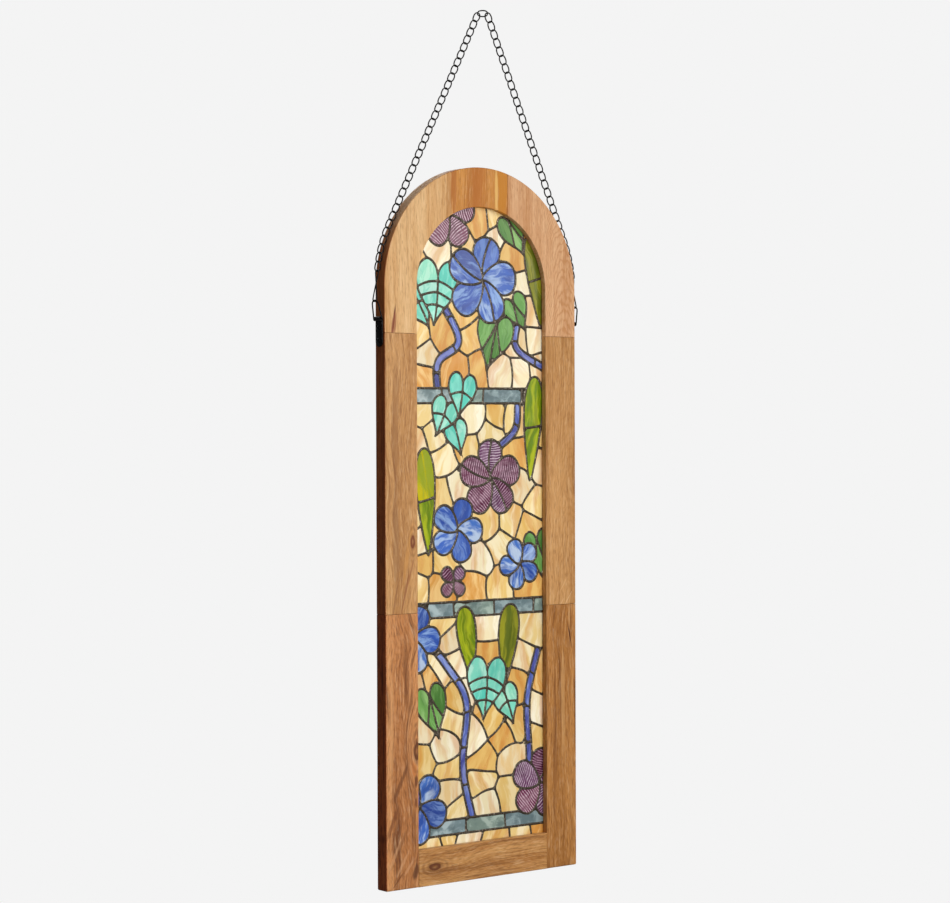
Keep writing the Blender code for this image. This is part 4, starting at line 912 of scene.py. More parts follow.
def smooth_line(points, step):
    """A curve through the points, which passes each with the direction of its neighbours."""
    points = np.asarray(points, dtype=float)
    ends = np.vstack([2 * points[0] - points[1], points, 2 * points[-1] - points[-2]])
    curve = []
    for before, start, end, after in zip(ends, ends[1:], ends[2:], ends[3:]):
        count = max(2, round(np.linalg.norm(end - start) / step))
        share = np.linspace(0, 1, count, endpoint=False)[:, None]
        curve.append(0.5 * (2 * start + (end - before) * share
                            + (2 * before - 5 * start + 4 * end - after) * share ** 2
                            + (3 * start - before - 3 * end + after) * share ** 3))
    return np.vstack(curve + [points[-1:]])


def ribbon(line, width):
    """A strip of even width along a line."""
    side = unit_rows(np.gradient(line, axis=0))[:, ::-1] * [-1, 1] * width / 2
    return np.vstack([line + side, (line - side)[::-1]])


def sheet_outline(steps):
    """The sheet's edge: a round arch over straight sides."""
    turn = np.linspace(0, math.pi, steps + 1)
    arch = np.column_stack([SHEET_RADIUS * np.cos(turn), SHEET_ARCH_CENTRE + SHEET_RADIUS * np.sin(turn)])
    return np.vstack([arch, [(-SHEET_RADIUS, SHEET_FOOT), (SHEET_RADIUS, SHEET_FOOT)]])


def bowed(start, end, bow, steps=9):
    """A line between two points that bows sideways by a share of its length, as a flat parabola."""
    start, end = np.asarray(start, dtype=float), np.asarray(end, dtype=float)
    share = np.linspace(0, 1, steps)[:, None]
    side = (end - start)[::-1] * [-1, 1] * bow
    return start + (end - start) * share + side * 4 * share * (1 - share)


def stem_seams(line, width):
    """Cuts across a stem at an even spacing, each leaning its own way."""
    along = unit_rows(np.gradient(line, axis=0))
    length = run_lengths(line)
    cuts = []
    for number, run in enumerate(np.arange(0.33, length[-1] - 0.19, 0.44)):
        i = int(np.argmin(np.abs(length - run)))
        side = along[i][::-1] * [-1, 1] * width
        lean = along[i] * width * 0.3 * math.cos(5 * number)
        cuts.append(bowed(line[i] - side - lean, line[i] + side + lean, 0.03))
    return cuts


def heart_seams(colour, length, width):
    """Veins of a heart leaf. A teal leaf has a midrib with paired side veins, a green one has veins that
    fan out from the stalk."""
    if colour == "green":
        fan = (-0.34, 0.30) if length < 0.5 else (-0.52, -0.06, 0.42)
        return [bowed((0, -0.1 * length), (share * width, length * (1.12 - 0.5 * abs(share))), 0.10 * share)
                for share in fan]
    veins = [bowed((0, -0.1 * length), (0, 1.1 * length), 0.03)]
    if length > 0.5:
        for start, end in ((0.10, 0.44), (0.32, 0.68), (0.56, 0.90)):
            for side in (-1, 1):
                reach = (side * 0.62 * width, end * length)
                veins.append(bowed((0, start * length), reach, -0.10 * side))
    elif length > 0.36:
        for side in (-1, 1):
            veins.append(bowed((0, 0.24 * length), (side * 0.6 * width, 0.60 * length), -0.10 * side))
    return veins


def motif(colour, outline, seams, spot, turn, pour=None):
    """A motif with its local outline and seams turned and moved to their place. Its glass is poured along
    its turn, unless the pour has a turn of its own."""
    return {"colour": colour, "outline": turned(outline, spot, turn), "spot": spot,
            "turn": turn if pour is None else pour, "seams": [turned(seam, spot, turn) for seam in seams]}


def design_shapes(steps):
    """Every motif from the lowest to the topmost, as a dict of its colour, outline, inner seams, turn,
    place and, for a stem, its middle line."""
    _, stem_step, petal_steps, heart_steps, leaf_steps = steps
    shapes = []
    for points, width in STEMS:
        line = smooth_line([on_sheet(spot) for spot in points], stem_step)
        shapes.append({"colour": "indigo", "outline": ribbon(line, width), "line": on_panel(line),
                       "seams": stem_seams(line, width)})
    for number, height in enumerate(BARS):
        half = BAR_DEPTH / 2
        corners = [(-1.2, -half), (1.2, -half), (1.2, half), (-1.2, half)]
        cuts = [bowed((x, -half * 1.5), (x + 0.02 * math.cos(7 * x), half * 1.5), 0.02)
                for x in np.arange(-0.55 + 0.17 * number, 1.0, 0.62)]
        shapes.append(motif("slate", corners, cuts, (0, height), 0, pour=90))
    for spot, length, width, turn in LONG_LEAVES:
        cuts = [bowed((-width, 0.42 * length), (width, 0.50 * length), 0.06)] if length > 1.1 else []
        shapes.append(motif("lime", long_leaf_outline(length, width, leaf_steps), cuts, spot, turn))
    for colour, spot, length, width, turn in HEART_LEAVES:
        outline = heart_outline(length, width, heart_steps)
        shapes.append(motif(colour, outline, heart_seams(colour, length, width), spot, turn))
    for colour, spot, radius, turn, petals in BLOSSOMS:
        for petal in range(petals):
            split = radius > 0.47 and petal % 2 == 0
            cuts = [bowed((0, -0.03), (0.05, 1.1 * radius), 0.08)] if split else []
            own = turn + 360 / petals * petal
            shapes.append(motif(colour, petal_outline(radius, petal_steps), cuts, spot, own))
    return shapes


def area(points):
    """Signed area of a ring, positive when it turns left."""
    x, y = np.asarray(points).T
    return 0.5 * float(np.sum(x * np.roll(y, -1) - y * np.roll(x, -1)))


def inside(points, ring):
    """Which points lie inside a closed ring."""
    x, y = points.T
    held = np.zeros(len(points), dtype=bool)
    for (x0, y0), (x1, y1) in zip(ring, np.roll(ring, -1, axis=0)):
        if y0 == y1:
            continue
        crosses = (y0 > y) != (y1 > y)
        held ^= crosses & (x < (x1 - x0) * (y - y0) / (y1 - y0) + x0)
    return held


def triangulate(outlines, lines):
    """Triangles of the whole plane cut by closed outlines and open lines.

    Returns the points, the triangles, the outlines that hold each triangle, and for each edge on a line the
    numbers of its lines."""
    points = []
    faces = []
    for outline in outlines:
        faces.append(list(range(len(points), len(points) + len(outline))))
        points.extend(outline if area(outline) > 0 else outline[::-1])
    edges = []
    owners = []
    for number, line in enumerate(lines):
        first = len(points)
        edges.extend((first + i, first + i + 1) for i in range(len(line) - 1))
        owners.extend([number] * (len(line) - 1))
        points.extend(line)
    found = delaunay_2d_cdt([Vector(p) for p in points], edges, faces, 0, 1e-7, True)
    corners = np.array([tuple(p) for p in found[0]])
    on_line = {tuple(sorted(edge)): {owners[number] for number in origin if number < len(edges)}
               for edge, origin in zip(found[1], found[4])}
    return corners, found[2], mended_holders(outlines, corners, found[2], found[5]), on_line


def mended_holders(outlines, corners, triangles, holders):
    """The outlines that hold each triangle. An outline whose triangles cover more or less than its own
    area is looked up again, from the triangles' middles."""
    spots = corners[np.array(triangles)]
    one, other = spots[:, 1] - spots[:, 0], spots[:, 2] - spots[:, 0]
    sizes = np.abs(one[:, 0] * other[:, 1] - one[:, 1] * other[:, 0]) / 2
    covered = np.zeros(len(outlines))
    for size, held in zip(sizes, holders):
        covered[held] += size
    wanted = np.array([abs(area(outline)) for outline in outlines])
    wrong = np.flatnonzero(np.abs(covered - wanted) > 0.01 * wanted)
    mended = [[number for number in held if number not in set(wrong)] for held in holders]
    for number in wrong:
        for triangle in np.flatnonzero(inside(spots.mean(1), outlines[number])):
            mended[triangle].append(int(number))
    return [sorted(held) for held in mended]


def ground_seeds(shapes, outline):
    """Centres of the ground tiles: lattice points clear of the motifs, drawn to even spacing.

    A point joins if it is a tile away from the others; then each centre moves to the middle of the
    lattice points nearest to it, several times."""
    low, high = outline.min(0), outline.max(0)
    across, up = np.meshgrid(np.arange(low[0], high[0], SEED_LATTICE),
                             np.arange(low[1], high[1], SEED_LATTICE))
    lattice = np.column_stack([across.ravel(), up.ravel()])
    free = inside(lattice, outline)
    for shape in shapes:
        free &= ~inside(lattice, shape["outline"])
    lattice = lattice[free]
    order = np.random.default_rng(7).permutation(len(lattice))
    seeds = []
    for spot in lattice[order]:
        if all(np.hypot(*(spot - other)) > GROUND_TILE for other in seeds):
            seeds.append(spot)
    seeds = np.array(seeds)
    for _ in range(6):
        nearest = np.argmin(np.linalg.norm(lattice[:, None] - seeds[None], axis=2), axis=1)
        seeds = np.array([lattice[nearest == i].mean(0) for i in range(len(seeds))])
    return seeds


def sides_of(triangles):
    """Each edge, as its sorted corners, with the triangles on it."""
    sides = {}
    for number, triangle in enumerate(triangles):
        for i in range(3):
            sides.setdefault(tuple(sorted((triangle[i], triangle[i - 1]))), []).append(number)
    return sides


def ground_seams(seeds, outline):
    """Slightly bowed lines halfway between neighbouring seeds, the edges of their nearest-point cells."""
    centre = (outline.min(0) + outline.max(0)) / 2
    reach = 2 * (outline.max(0) - outline.min(0))
    turn = np.linspace(0, 2 * math.pi, 24, endpoint=False)
    guard = centre + np.column_stack([np.cos(turn), np.sin(turn)]) * reach
    corners, triangles, _, _ = triangulate([], [[p] for p in np.vstack([seeds, guard])])
    hubs = []
    for triangle in triangles:
        a, b, c = corners[triangle]
        system = 2 * np.array([b - a, c - a])
        hubs.append(np.linalg.solve(system, [b @ b - a @ a, c @ c - a @ a]))
    sides = sides_of(triangles)
    seams = []
    for pair in sorted(sides):
        if len(sides[pair]) == 2:
            start, end = (hubs[number] for number in sides[pair])
            seams.append(bowed(start, end, SEAM_BOW * math.cos(3 * len(seams))))
    return seams


def patches_of(triangles, labels, on_line, owners):
    """Numbers the patches of equal label. An edge on a line parts triangles of the line's own label."""
    sides = sides_of(triangles)
    links = [[] for _ in triangles]
    for edge, pair in sides.items():
        if len(pair) < 2 or labels[pair[0]] != labels[pair[1]]:
            continue
        if labels[pair[0]] in {owners[line] for line in on_line.get(edge, ())}:
            continue
        links[pair[0]].append(pair[1])
        links[pair[1]].append(pair[0])
    patch = np.full(len(triangles), -1)
    count = 0
    for start in range(len(triangles)):
        if patch[start] >= 0 or labels[start] is None:
            continue
        waiting = [start]
        patch[start] = count
        while waiting:
            for other in links[waiting.pop()]:
                if patch[other] < 0:
                    patch[other] = count
                    waiting.append(other)
        count += 1
    return patch, sides


def rings(triangles):
    """Closed boundary rings of a set of triangles that all turn the same way."""
    edges = {(t[i], t[(i + 1) % 3]) for t in triangles for i in range(3)}
    following = {}
    for start, end in sorted(edges):
        if (end, start) not in edges:
            following.setdefault(start, []).append(end)
    found = []
    while following:
        ring = [min(following)]
        while True:
            ends = following[ring[-1]]
            end = ends.pop()
            if not ends:
                del following[ring[-1]]
            if end == ring[0]:
                break
            ring.append(end)
        found.append(ring)
    return found


def merged_slivers(corners, triangles, labels, patch, sides):
    """Joins each patch that is too small for a tile to the neighbour it shares most of its edge with, a
    neighbour of its own label if it has one, or another of its colour. The rest stay for the solder."""
    sizes = np.zeros(patch.max() + 1)
    label_of = {}
    members = {}
    for number, own in enumerate(patch):
        if own >= 0:
            sizes[own] += abs(area(corners[triangles[number]]))
            label_of[own] = labels[number]
            members.setdefault(own, []).append(number)
    shared = {}
    for (first, last), pair in sides.items():
        if len(pair) == 2 and min(patch[pair[0]], patch[pair[1]]) >= 0 and patch[pair[0]] != patch[pair[1]]:
            length = np.linalg.norm(corners[first] - corners[last])
            for one, other in ((patch[pair[0]], patch[pair[1]]), (patch[pair[1]], patch[pair[0]])):
                shared.setdefault(one, {}).setdefault(other, 0)
                shared[one][other] += length
    unit = OPENING_RADIUS ** 2
    for own in sorted(label_of, key=lambda number: sizes[number]):
        least = SMALLEST_GROUND if label_of[own] == GROUND else SMALLEST_MOTIF
        if sizes[own] > least * unit:
            continue
        others = {other: length for other, length in shared.get(own, {}).items()
                  if label_of[other] == label_of[own] and sizes[other] > sizes[own]}
        if others:
            chosen = max(others, key=lambda other: (others[other], other))
            for number in members.pop(own):
                patch[number] = chosen
                members[chosen].append(number)
            sizes[chosen] += sizes[own]
            for other, length in shared.pop(own).items():
                shared[other].pop(own)
                if other != chosen:
                    shared[chosen][other] = shared[chosen].get(other, 0) + length
                    shared[other][chosen] = shared[other].get(chosen, 0) + length
    return {own: (label_of[own], numbers, sizes[own] / unit) for own, numbers in members.items()}


def edge_chains(corners, triangles, patch, sides):
    """The boundary lines between tiles, cut where three or more meet and resampled to even steps.

    Returns the new points, the points where lines meet, and for each directed edge of the triangulation its
    line's number and whether it runs forward."""
    borders = {}
    for (first, last), pair in sides.items():
        held = [patch[number] for number in pair] + [-1] * (2 - len(pair))
        if held[0] != held[1]:
            borders.setdefault(first, []).append(last)
            borders.setdefault(last, []).append(first)
    meets = {corner for corner, others in borders.items() if len(others) != 2}
    points = []
    index_of = {}
    chains = []
    run_of = {}
    for start in sorted(meets) + sorted(set(borders) - meets):
        for follower in borders[start]:
            if (start, follower) in run_of:
                continue
            run = [start, follower]
            while run[-1] not in meets and run[-1] != start:
                run.append(next(other for other in borders[run[-1]] if other != run[-2]))
            number = len(chains)
            for one, other in zip(run, run[1:]):
                run_of[(one, other)] = (number, True)
                run_of[(other, one)] = (number, False)
            line = corners[run]
            for _ in range(3):
                if len(line) > 3:
                    line[1:-1] = line[1:-1] * 0.5 + (line[:-2] + line[2:]) * 0.25
            length = run_lengths(line)
            count = max(2 if run[0] != run[-1] else 6, int(round(length[-1] / RING_STEP)))
            at = np.linspace(0, length[-1], count + 1)
            even = np.column_stack([np.interp(at, length, line[:, 0]), np.interp(at, length, line[:, 1])])
            for end, spot in ((run[0], even[0]), (run[-1], even[-1])):
                if end not in index_of:
                    index_of[end] = len(points)
                    points.append(spot)
            numbers = [index_of[run[0]]]
            for spot in even[1:-1]:
                numbers.append(len(points))
                points.append(spot)
            numbers.append(index_of[run[-1]])
            chains.append(numbers)
    hubs = [index_of[corner] for corner in meets if corner in index_of]
    return np.array(points), hubs, chains, run_of


def ring_points(ring, chains, run_of):
    """A tile's ring of triangulation corners as the numbers of its resampled points."""
    runs = []
    for start, end in zip(ring, ring[1:] + ring[:1]):
        own = run_of[(start, end)]
        if not runs or runs[-1] != own:
            runs.append(own)
    if len(runs) > 1 and runs[0] == runs[-1]:
        runs.pop()
    numbers = []
    for chain, forward in runs:
        line = chains[chain] if forward else chains[chain][::-1]
        numbers.extend(line[:-1])
    return numbers


def distance_to(points, ring):
    """The shortest distance from each point to a closed ring."""
    start, end = ring, np.roll(ring, -1, axis=0)
    run = end - start
    share = np.clip(np.einsum("pij,ij->pi", points[:, None] - start[None], run)
                    / np.maximum(np.einsum("ij,ij->i", run, run), 1e-18), 0, 1)
    nearest = start[None] + share[..., None] * run[None]
    return np.linalg.norm(points[:, None] - nearest, axis=2).min(1)


def tile_net(loops):
    """Triangles inside a tile: its rings, rows of points at each solder level along them, and an even
    lattice within. Returns the points, their distances from the rings, how many belong to the rings, and
    the triangles."""
    whole = np.vstack(loops)
    rows = []
    for loop in loops:
        along = np.roll(loop, -1, axis=0) - np.roll(loop, 1, axis=0)
        along /= np.maximum(np.linalg.norm(along, axis=1), 1e-9)[:, None]
        inward = along[:, ::-1] * [-1, 1]
        rows += [(loop + inward * level, level) for level in SOLDER_LEVELS]
    low, high = whole.min(0), whole.max(0)
    across, up = np.meshgrid(np.arange(low[0], high[0], WAVE_STEP), np.arange(low[1], high[1], WAVE_STEP))
    across = across + (np.arange(across.shape[0]) % 2)[:, None] * WAVE_STEP / 2
    rows.append((np.column_stack([across.ravel(), up.ravel()]), SOLDER_LEVELS[-1] + LATTICE_GAP))
    kept = []
    distances = [np.zeros(len(whole))]
    for row, level in rows:
        held = inside(row, loops[0])
        for hole in loops[1:]:
            held &= ~inside(row, hole)
        row = row[held]
        if not len(row):
            continue
        reach = np.min([distance_to(row, loop) for loop in loops], axis=0)
        clear = reach > 0.96 * level
        kept.append(row[clear])
        distances.append(reach[clear])
    points = np.vstack([whole] + kept)
    faces = []
    first = 0
    for loop in loops:
        numbers = list(range(first, first + len(loop)))
        faces.append(numbers if area(loop) > 0 else numbers[::-1])
        first += len(loop)
    found = delaunay_2d_cdt([Vector(p) for p in points], [], faces, 0, 1e-8, True)
    spots = np.array([tuple(p) for p in found[0]])
    source = np.array([origin[0] if origin else -1 for origin in found[3]])
    held = [t for t, holders in zip(found[2], found[5]) if list(holders) == [0]]
    crossings = np.flatnonzero(source < 0)
    source[crossings] = len(points) + np.arange(len(crossings))
    points = np.vstack([points, spots[crossings]])
    distances.append(np.zeros(len(crossings)))
    triangles = np.array([[source[i] for i in t] for t in held]).reshape(-1, 3)
    return points, np.concatenate(distances), len(whole), triangles


def tiles_of_panel():
    """Every tile of the panel, with its label, loops of point numbers and size, the shared points and the
    places where solder lines meet."""
    coarse = sheet_outline(COARSE[0])
    seams = ground_seams(ground_seeds(design_shapes(COARSE), coarse), coarse)
    shapes = design_shapes(FINE)
    lines = list(seams)
    owners = [GROUND] * len(seams)
    for number, shape in enumerate(shapes):
        lines += shape["seams"]
        owners += [number] * len(shape["seams"])
    outlines = [sheet_outline(FINE[0])] + [shape["outline"] for shape in shapes]
    corners, triangles, holders, on_line = triangulate(outlines, lines)
    corners = on_panel(corners)
    labels = [None if 0 not in held else (max(held) - 1 if len(held) > 1 else GROUND) for held in holders]
    patch, sides = patches_of(triangles, labels, on_line, owners)
    members = merged_slivers(corners, triangles, labels, patch, sides)
    points, hubs, chains, run_of = edge_chains(corners, triangles, patch, sides)
    tiles = []
    for own, (label, numbers, size) in sorted(members.items()):
        found = rings([triangles[number] for number in numbers])
        found.sort(key=lambda ring: -area(corners[ring]))
        loops = [ring_points(ring, chains, run_of) for ring in found]
        tiles.append((label, loops, size))
    return shapes, tiles, points, hubs


def solder_height(spots, distance, hubs):
    """How far the solder stands out of the glass at a distance from its middle line: the upper half of an
    ellipse as wide as the line, wider and higher at the meeting points, uneven along its length, and
    falling below the glass beyond its edge."""
    x, z = spots.T
    nearest = np.full(len(spots), 1.0)
    for first in range(0, len(spots), 4000):
        block = spots[first:first + 4000]
        nearest[first:first + 4000] = np.linalg.norm(block[:, None] - hubs[None], axis=2).min(1)
    blob = np.exp(-(nearest / 0.0026) ** 2)
    uneven = (np.sin(410 * x + 3 * np.sin(230 * z)) + np.sin(370 * z + 2 * np.sin(190 * x) + 1.0)) / 2
    lumps = np.sin(1500 * x + 2 * np.sin(900 * z)) * np.sin(1300 * z + 2 * np.sin(800 * x))
    width = SOLDER_HALF_WIDTH * (1 + 0.13 * uneven + 0.30 * blob)
    share = distance / width
    crest = SOLDER_CREST * (0.86 + 0.10 * uneven + 0.14 * blob + 0.05 * lumps)
    return np.where(share < 1, crest * np.sqrt(np.clip(1 - share ** 2, 0, 1)), -0.5 * (distance - width))


def flow_of(shape, spots, rng, seed):
    """Metres across and along the glass's pour at each spot, and the tile's seed."""
    if shape and "line" in shape:
        line = shape["line"]
        along = unit_rows(np.gradient(line, axis=0))
        nearest = np.argmin(np.linalg.norm(spots[:, None] - line[None], axis=2), axis=1)
        off = spots - line[nearest]
        side = along[nearest][:, ::-1] * [-1, 1]
        run = run_lengths(line)[nearest] + np.sum(off * along[nearest], axis=1)
        return np.column_stack([np.sum(off * side, axis=1), run, np.full(len(spots), seed)])
    angle = math.radians((shape["turn"] if shape else 0) + rng.normal(0, 5 if shape else 17))
    across = np.array([math.cos(angle), -math.sin(angle)])
    up = np.array([math.sin(angle), math.cos(angle)])
    centre = on_panel([on_sheet(shape["spot"])])[0] if shape else spots.mean(0)
    off = spots - centre
    return np.column_stack([off @ across, off @ up, np.full(len(spots), seed)])


def glass_nodes():
    """A tree of every glass node's triangles, and each triangle's node."""
    slot_of = {entry["node"]: entry["material_slot"] for entry in frame["record"]["subparts"]}
    points = []
    faces = []
    names = []
    for name, node in sorted(frame["nodes"].items()):
        if slot_of[name] in GLASS_TONES:
            first = len(points)
            points += [vertex.co.copy() for vertex in node.data.vertices]
            faces += [[first + i for i in polygon.vertices] for polygon in node.data.polygons]
            names += [name] * len(node.data.polygons)
    return BVHTree.FromPolygons(points, faces), names, slot_of


def build_panel():
    """The glass tiles, one object for each glass node, and the solder net over their edges."""
    shapes, tiles, shared_points, hubs = tiles_of_panel()
    hub_spots = shared_points[hubs]
    tree, face_nodes, slot_of = glass_nodes()
    rng = np.random.default_rng(31)
    solder_spots = [shared_points]
    solder_distance = [np.zeros(len(shared_points))]
    solder_faces = []
    count = len(shared_points)
    parts = {}
    for label, loops, size in tiles:
        shape = None if label == GROUND else shapes[label]
        spots, distance, on_ring, triangles = tile_net([shared_points[loop] for loop in loops])
        numbers = np.concatenate([np.concatenate(loops), np.arange(count, count + len(spots) - on_ring)])
        count += len(spots) - on_ring
        solder_spots.append(spots[on_ring:])
        solder_distance.append(distance[on_ring:])
        reach = distance[triangles]
        seed = rng.uniform(0, 900)
        family = shape["colour"] if shape else "cream"
        tone, veil = GLASS_TONES[family][rng.integers(len(GLASS_TONES[family]))]
        lift = rng.uniform(0.93, 1.06)
        tilt = rng.normal(0, TILE_TILT, 2)
        flow = flow_of(shape, spots, rng, seed)
        least = (SMALLEST_GROUND if label == GROUND else SMALLEST_MOTIF) * 0.5
        if size < least:
            solder_faces.append(numbers[triangles])
            continue
        solder_faces.append(numbers[triangles[reach.max(1) < SOLDER_LEVELS[-1] + SOLDER_OVERLAP]])
        glass = triangles[reach.min(1) > GLASS_EDGE]
        if not len(glass):
            continue
        votes = {}
        for spot in spots[distance > TILE_CORE][::3]:
            point = Vector(in_row((spot[0], GLASS_FRONT_Y, spot[1])))
            node = face_nodes[tree.find_nearest(point)[2]]
            votes[node] = votes.get(node, 0) + 1
        if not votes:
            continue
        node = max(sorted(votes), key=lambda name: votes[name])
        parts.setdefault(node, []).append((spots, glass, family, tone, veil, lift, tilt, flow))
    materials = {family: glass_material(family) for family in GLASS_TONES}
    for node, own_tiles in sorted(parts.items()):
        build_tiles(node, own_tiles, materials, slot_of[node])
    build_solder(np.vstack(solder_spots), np.concatenate(solder_distance), np.vstack(solder_faces), hub_spots)


def walled_sheets(front, back, triangles):
    """A closed solid of two sheets with the same triangles, walled in along their open edges."""
    count = len(front)
    directed = np.vstack([triangles[:, [0, 1]], triangles[:, [1, 2]], triangles[:, [2, 0]]])
    keys = {tuple(edge) for edge in directed.tolist()}
    walls = [[b, a, a + count, b + count] for a, b in sorted(keys) if (b, a) not in keys]
    return np.vstack([front, back]), triangles.tolist() + (triangles[:, ::-1] + count).tolist() + walls


def tile_solid(spots, glass, tilt):
    """One tile as a closed solid. Both faces carry a slow wave and lean a little, each tile its own way, so
    that neighbours catch the light differently."""
    used, inverse = np.unique(glass, return_inverse=True)
    glass = inverse.reshape(glass.shape)
    flat = spots[used]
    off = flat - flat.mean(0)
    lean = np.clip(off @ tilt, -0.0003, 0.0003)
    x, z = flat.T
    wave = 0.00012 * np.sin(170 * x + 2 * np.sin(90 * z) + 60 * tilt[0]) * np.sin(120 * z + 50 * tilt[1])
    front = np.column_stack([x, GLASS_FRONT_Y + lean + wave, z])
    back = np.column_stack([x, GLASS_BACK_Y + lean - wave, z])
    points, faces = walled_sheets(front, back, glass)
    return points, faces, used


def build_tiles(node, own_tiles, materials, slot):
    """The tiles that stand for one glass node, with their tones and pour direction as attributes."""
    families = sorted({tile[2] for tile in own_tiles}, key=lambda family: (family != slot, family))
    shapes = []
    face_materials = []
    tones = []
    veils = []
    flows = []
    for spots, glass, family, tone, veil, lift, tilt, flow in own_tiles:
        points, faces, used = tile_solid(spots, glass, tilt)
        shapes.append((points, faces))
        face_materials += [families.index(family)] * len(faces)
        for kept, colour in ((tones, tone), (veils, veil)):
            kept.append(np.tile(np.array(linear(colour)) * [lift, lift, lift, 1], (len(points), 1)))
        flows.append(np.vstack([flow[used], flow[used]]))
    points, faces = joined_shapes(shapes)
    piece = add_piece(f"{node}_tiles", in_row(points), faces, [materials[family] for family in families],
                      30.0, face_materials)
    for label, kind, values, field in (("tone", "FLOAT_COLOR", tones, "color"),
                                       ("veil", "FLOAT_COLOR", veils, "color"),
                                       ("flow", "FLOAT_VECTOR", flows, "vector")):
        attribute = piece.data.attributes.new(label, kind, "POINT")
        attribute.data.foreach_set(field, np.vstack(values).astype(np.float32).ravel())
    present(piece, slot, node)


def build_solder(spots, distance, faces, hubs):
    """The solder net: a front and a back sheet of the same height above the glass, joined at their edges."""
    used, inverse = np.unique(faces, return_inverse=True)
    faces = inverse.reshape(faces.shape)
    spots, distance = spots[used], distance[used]
    height = solder_height(spots, distance, hubs)
    x, z = spots.T
    front = np.column_stack([x, GLASS_FRONT_Y - height, z])
    back = np.column_stack([x, GLASS_BACK_Y + height, z])
    points, net = walled_sheets(front, back, faces)
    piece = add_piece("solder_lines", in_row(points), net, [solder_material()], 60.0)
    present(piece, "solder", "solder_net")


# Hanging hardware and chain


def knuckle_centre():
    """Distance from the frame's middle and height of the knuckle's axis."""
    return HALF_WIDTH + CLEARANCE + KNUCKLE_RADIUS, KNUCKLE_HEIGHT


def ring_apex():
    """Distance from the frame's middle and height of the middle of the ring's wire at its top."""
    base_x, base_z = knuckle_centre()
    height = RING_HEIGHT - RING_WIRE
    return base_x + height * math.sin(RING_LEAN), base_z + height * math.cos(RING_LEAN)


def strap_shape(sign):
    """The strap's plate with a rounded foot and eased edges, and the rolled knuckle at its top: a ring
    section around the bore, drawn along the knuckle's length."""
    half = STRAP_WIDTH / 2
    inner = HALF_WIDTH + CLEARANCE
    turn = np.linspace(math.pi, 2 * math.pi, 25)
    outline = [(half * math.cos(t), STRAP_BOTTOM_HEIGHT + half + half * math.sin(t)) for t in turn]
    outline = np.array(outline + [(half, KNUCKLE_HEIGHT - 0.001), (-half, KNUCKLE_HEIGHT - 0.001)])
    centre = np.array([0.0, STRAP_BOTTOM_HEIGHT + half + 0.012])
    outer = inner + STRAP_THICKNESS
    ease = 0.0004
    slope = ease * 0.3
    sections = []
    for x, shrink in ((inner, ease), (inner + slope, slope), (inner + ease, 0.0), (outer - ease, 0.0),
                      (outer - slope, slope), (outer, ease)):
        out = outline - centre
        drawn = outline - out / np.linalg.norm(out, axis=1)[:, None] * shrink
        sections.append(np.column_stack([np.full(len(drawn), sign * x), drawn[:, 0], drawn[:, 1]]))
    plate = lofted(in_row(sections))
    centre_x, centre_z = knuckle_centre()
    turn = np.linspace(0, 2 * math.pi, 28, endpoint=False)
    bore = RING_WIRE / 2 + 1.4 * CLEARANCE
    near_end = [(bore, -half + ease), (bore + ease, -half), (KNUCKLE_RADIUS - ease, -half),
                (KNUCKLE_RADIUS, -half + ease)]
    wall = near_end + [(r, -y) for r, y in near_end[::-1]]
    knuckle = [[(sign * (centre_x + r * math.cos(t)), y, centre_z + r * math.sin(t)) for r, y in wall]
               for t in turn]
    points = in_row(np.array(knuckle).reshape(-1, 3))
    faces = outward(points, grid_faces(len(turn), len(wall), closed_rows=True))
    return joined_shapes([plate, (points, faces)])


def screw_shape(sign, height):
    """A pan-head screw: a profile turned about its axis, its domed head pressed in along a cross."""
    under = HALF_WIDTH + STRAP_THICKNESS + 2 * CLEARANCE
    tip = HALF_WIDTH - SCREW_LENGTH
    dome = [(under + SCREW_HEAD_HEIGHT * math.cos(t) ** 0.8, SCREW_HEAD_RADIUS * math.sin(t))
            for t in np.linspace(math.pi / 2 - 0.12, 0.06, 14)]
    profile = [(tip, 0.0001), (tip + 0.002, SCREW_SHANK_RADIUS), (under, SCREW_SHANK_RADIUS),
               (under, SCREW_HEAD_RADIUS - 0.0001), (under + 0.0001, SCREW_HEAD_RADIUS)] + dome
    turn = np.linspace(0, 2 * math.pi, 48, endpoint=False)
    sections = []
    for x, radius in profile:
        y, z = radius * np.cos(turn + 0.4), radius * np.sin(turn + 0.4)
        slot = np.minimum(np.abs(radius * np.cos(turn)), np.abs(radius * np.sin(turn))) < CROSS_HALF_WIDTH
        sunk = np.where(slot & (radius < CROSS_REACH) & (x > under + 0.0002), CROSS_DEPTH, 0.0)
        sections.append(np.column_stack([sign * (x - sunk), y, height + z]))
    return lofted(in_row(sections))


def ring_shape(sign):
    """A triangular ring of round wire, its point up, leaning out towards the chain."""
    base_x, base_z = knuckle_centre()
    half = (RING_WIDTH - RING_WIRE) / 2
    centre_height = RING_HEIGHT - RING_WIRE - RING_TIP_RADIUS
    share = 1 - (RING_TIP_RADIUS / half) ** 2
    corner_height = (centre_height + math.sqrt(centre_height ** 2
                     - share * (centre_height ** 2 - RING_TIP_RADIUS ** 2))) / share
    corners = [(-half, 0.0), (half, 0.0), (0.0, corner_height)]
    flat = rounded_corners(corners, (RING_BASE_RADIUS, RING_BASE_RADIUS, RING_TIP_RADIUS), 9, margin=0.002)
    lean = np.array([math.sin(RING_LEAN), math.cos(RING_LEAN)])
    line = in_row([(sign * (base_x + up * lean[0]), across, base_z + up * lean[1]) for across, up in flat])
    return looped_tube(line, RING_WIRE / 2, 14, (1, 0, 0))


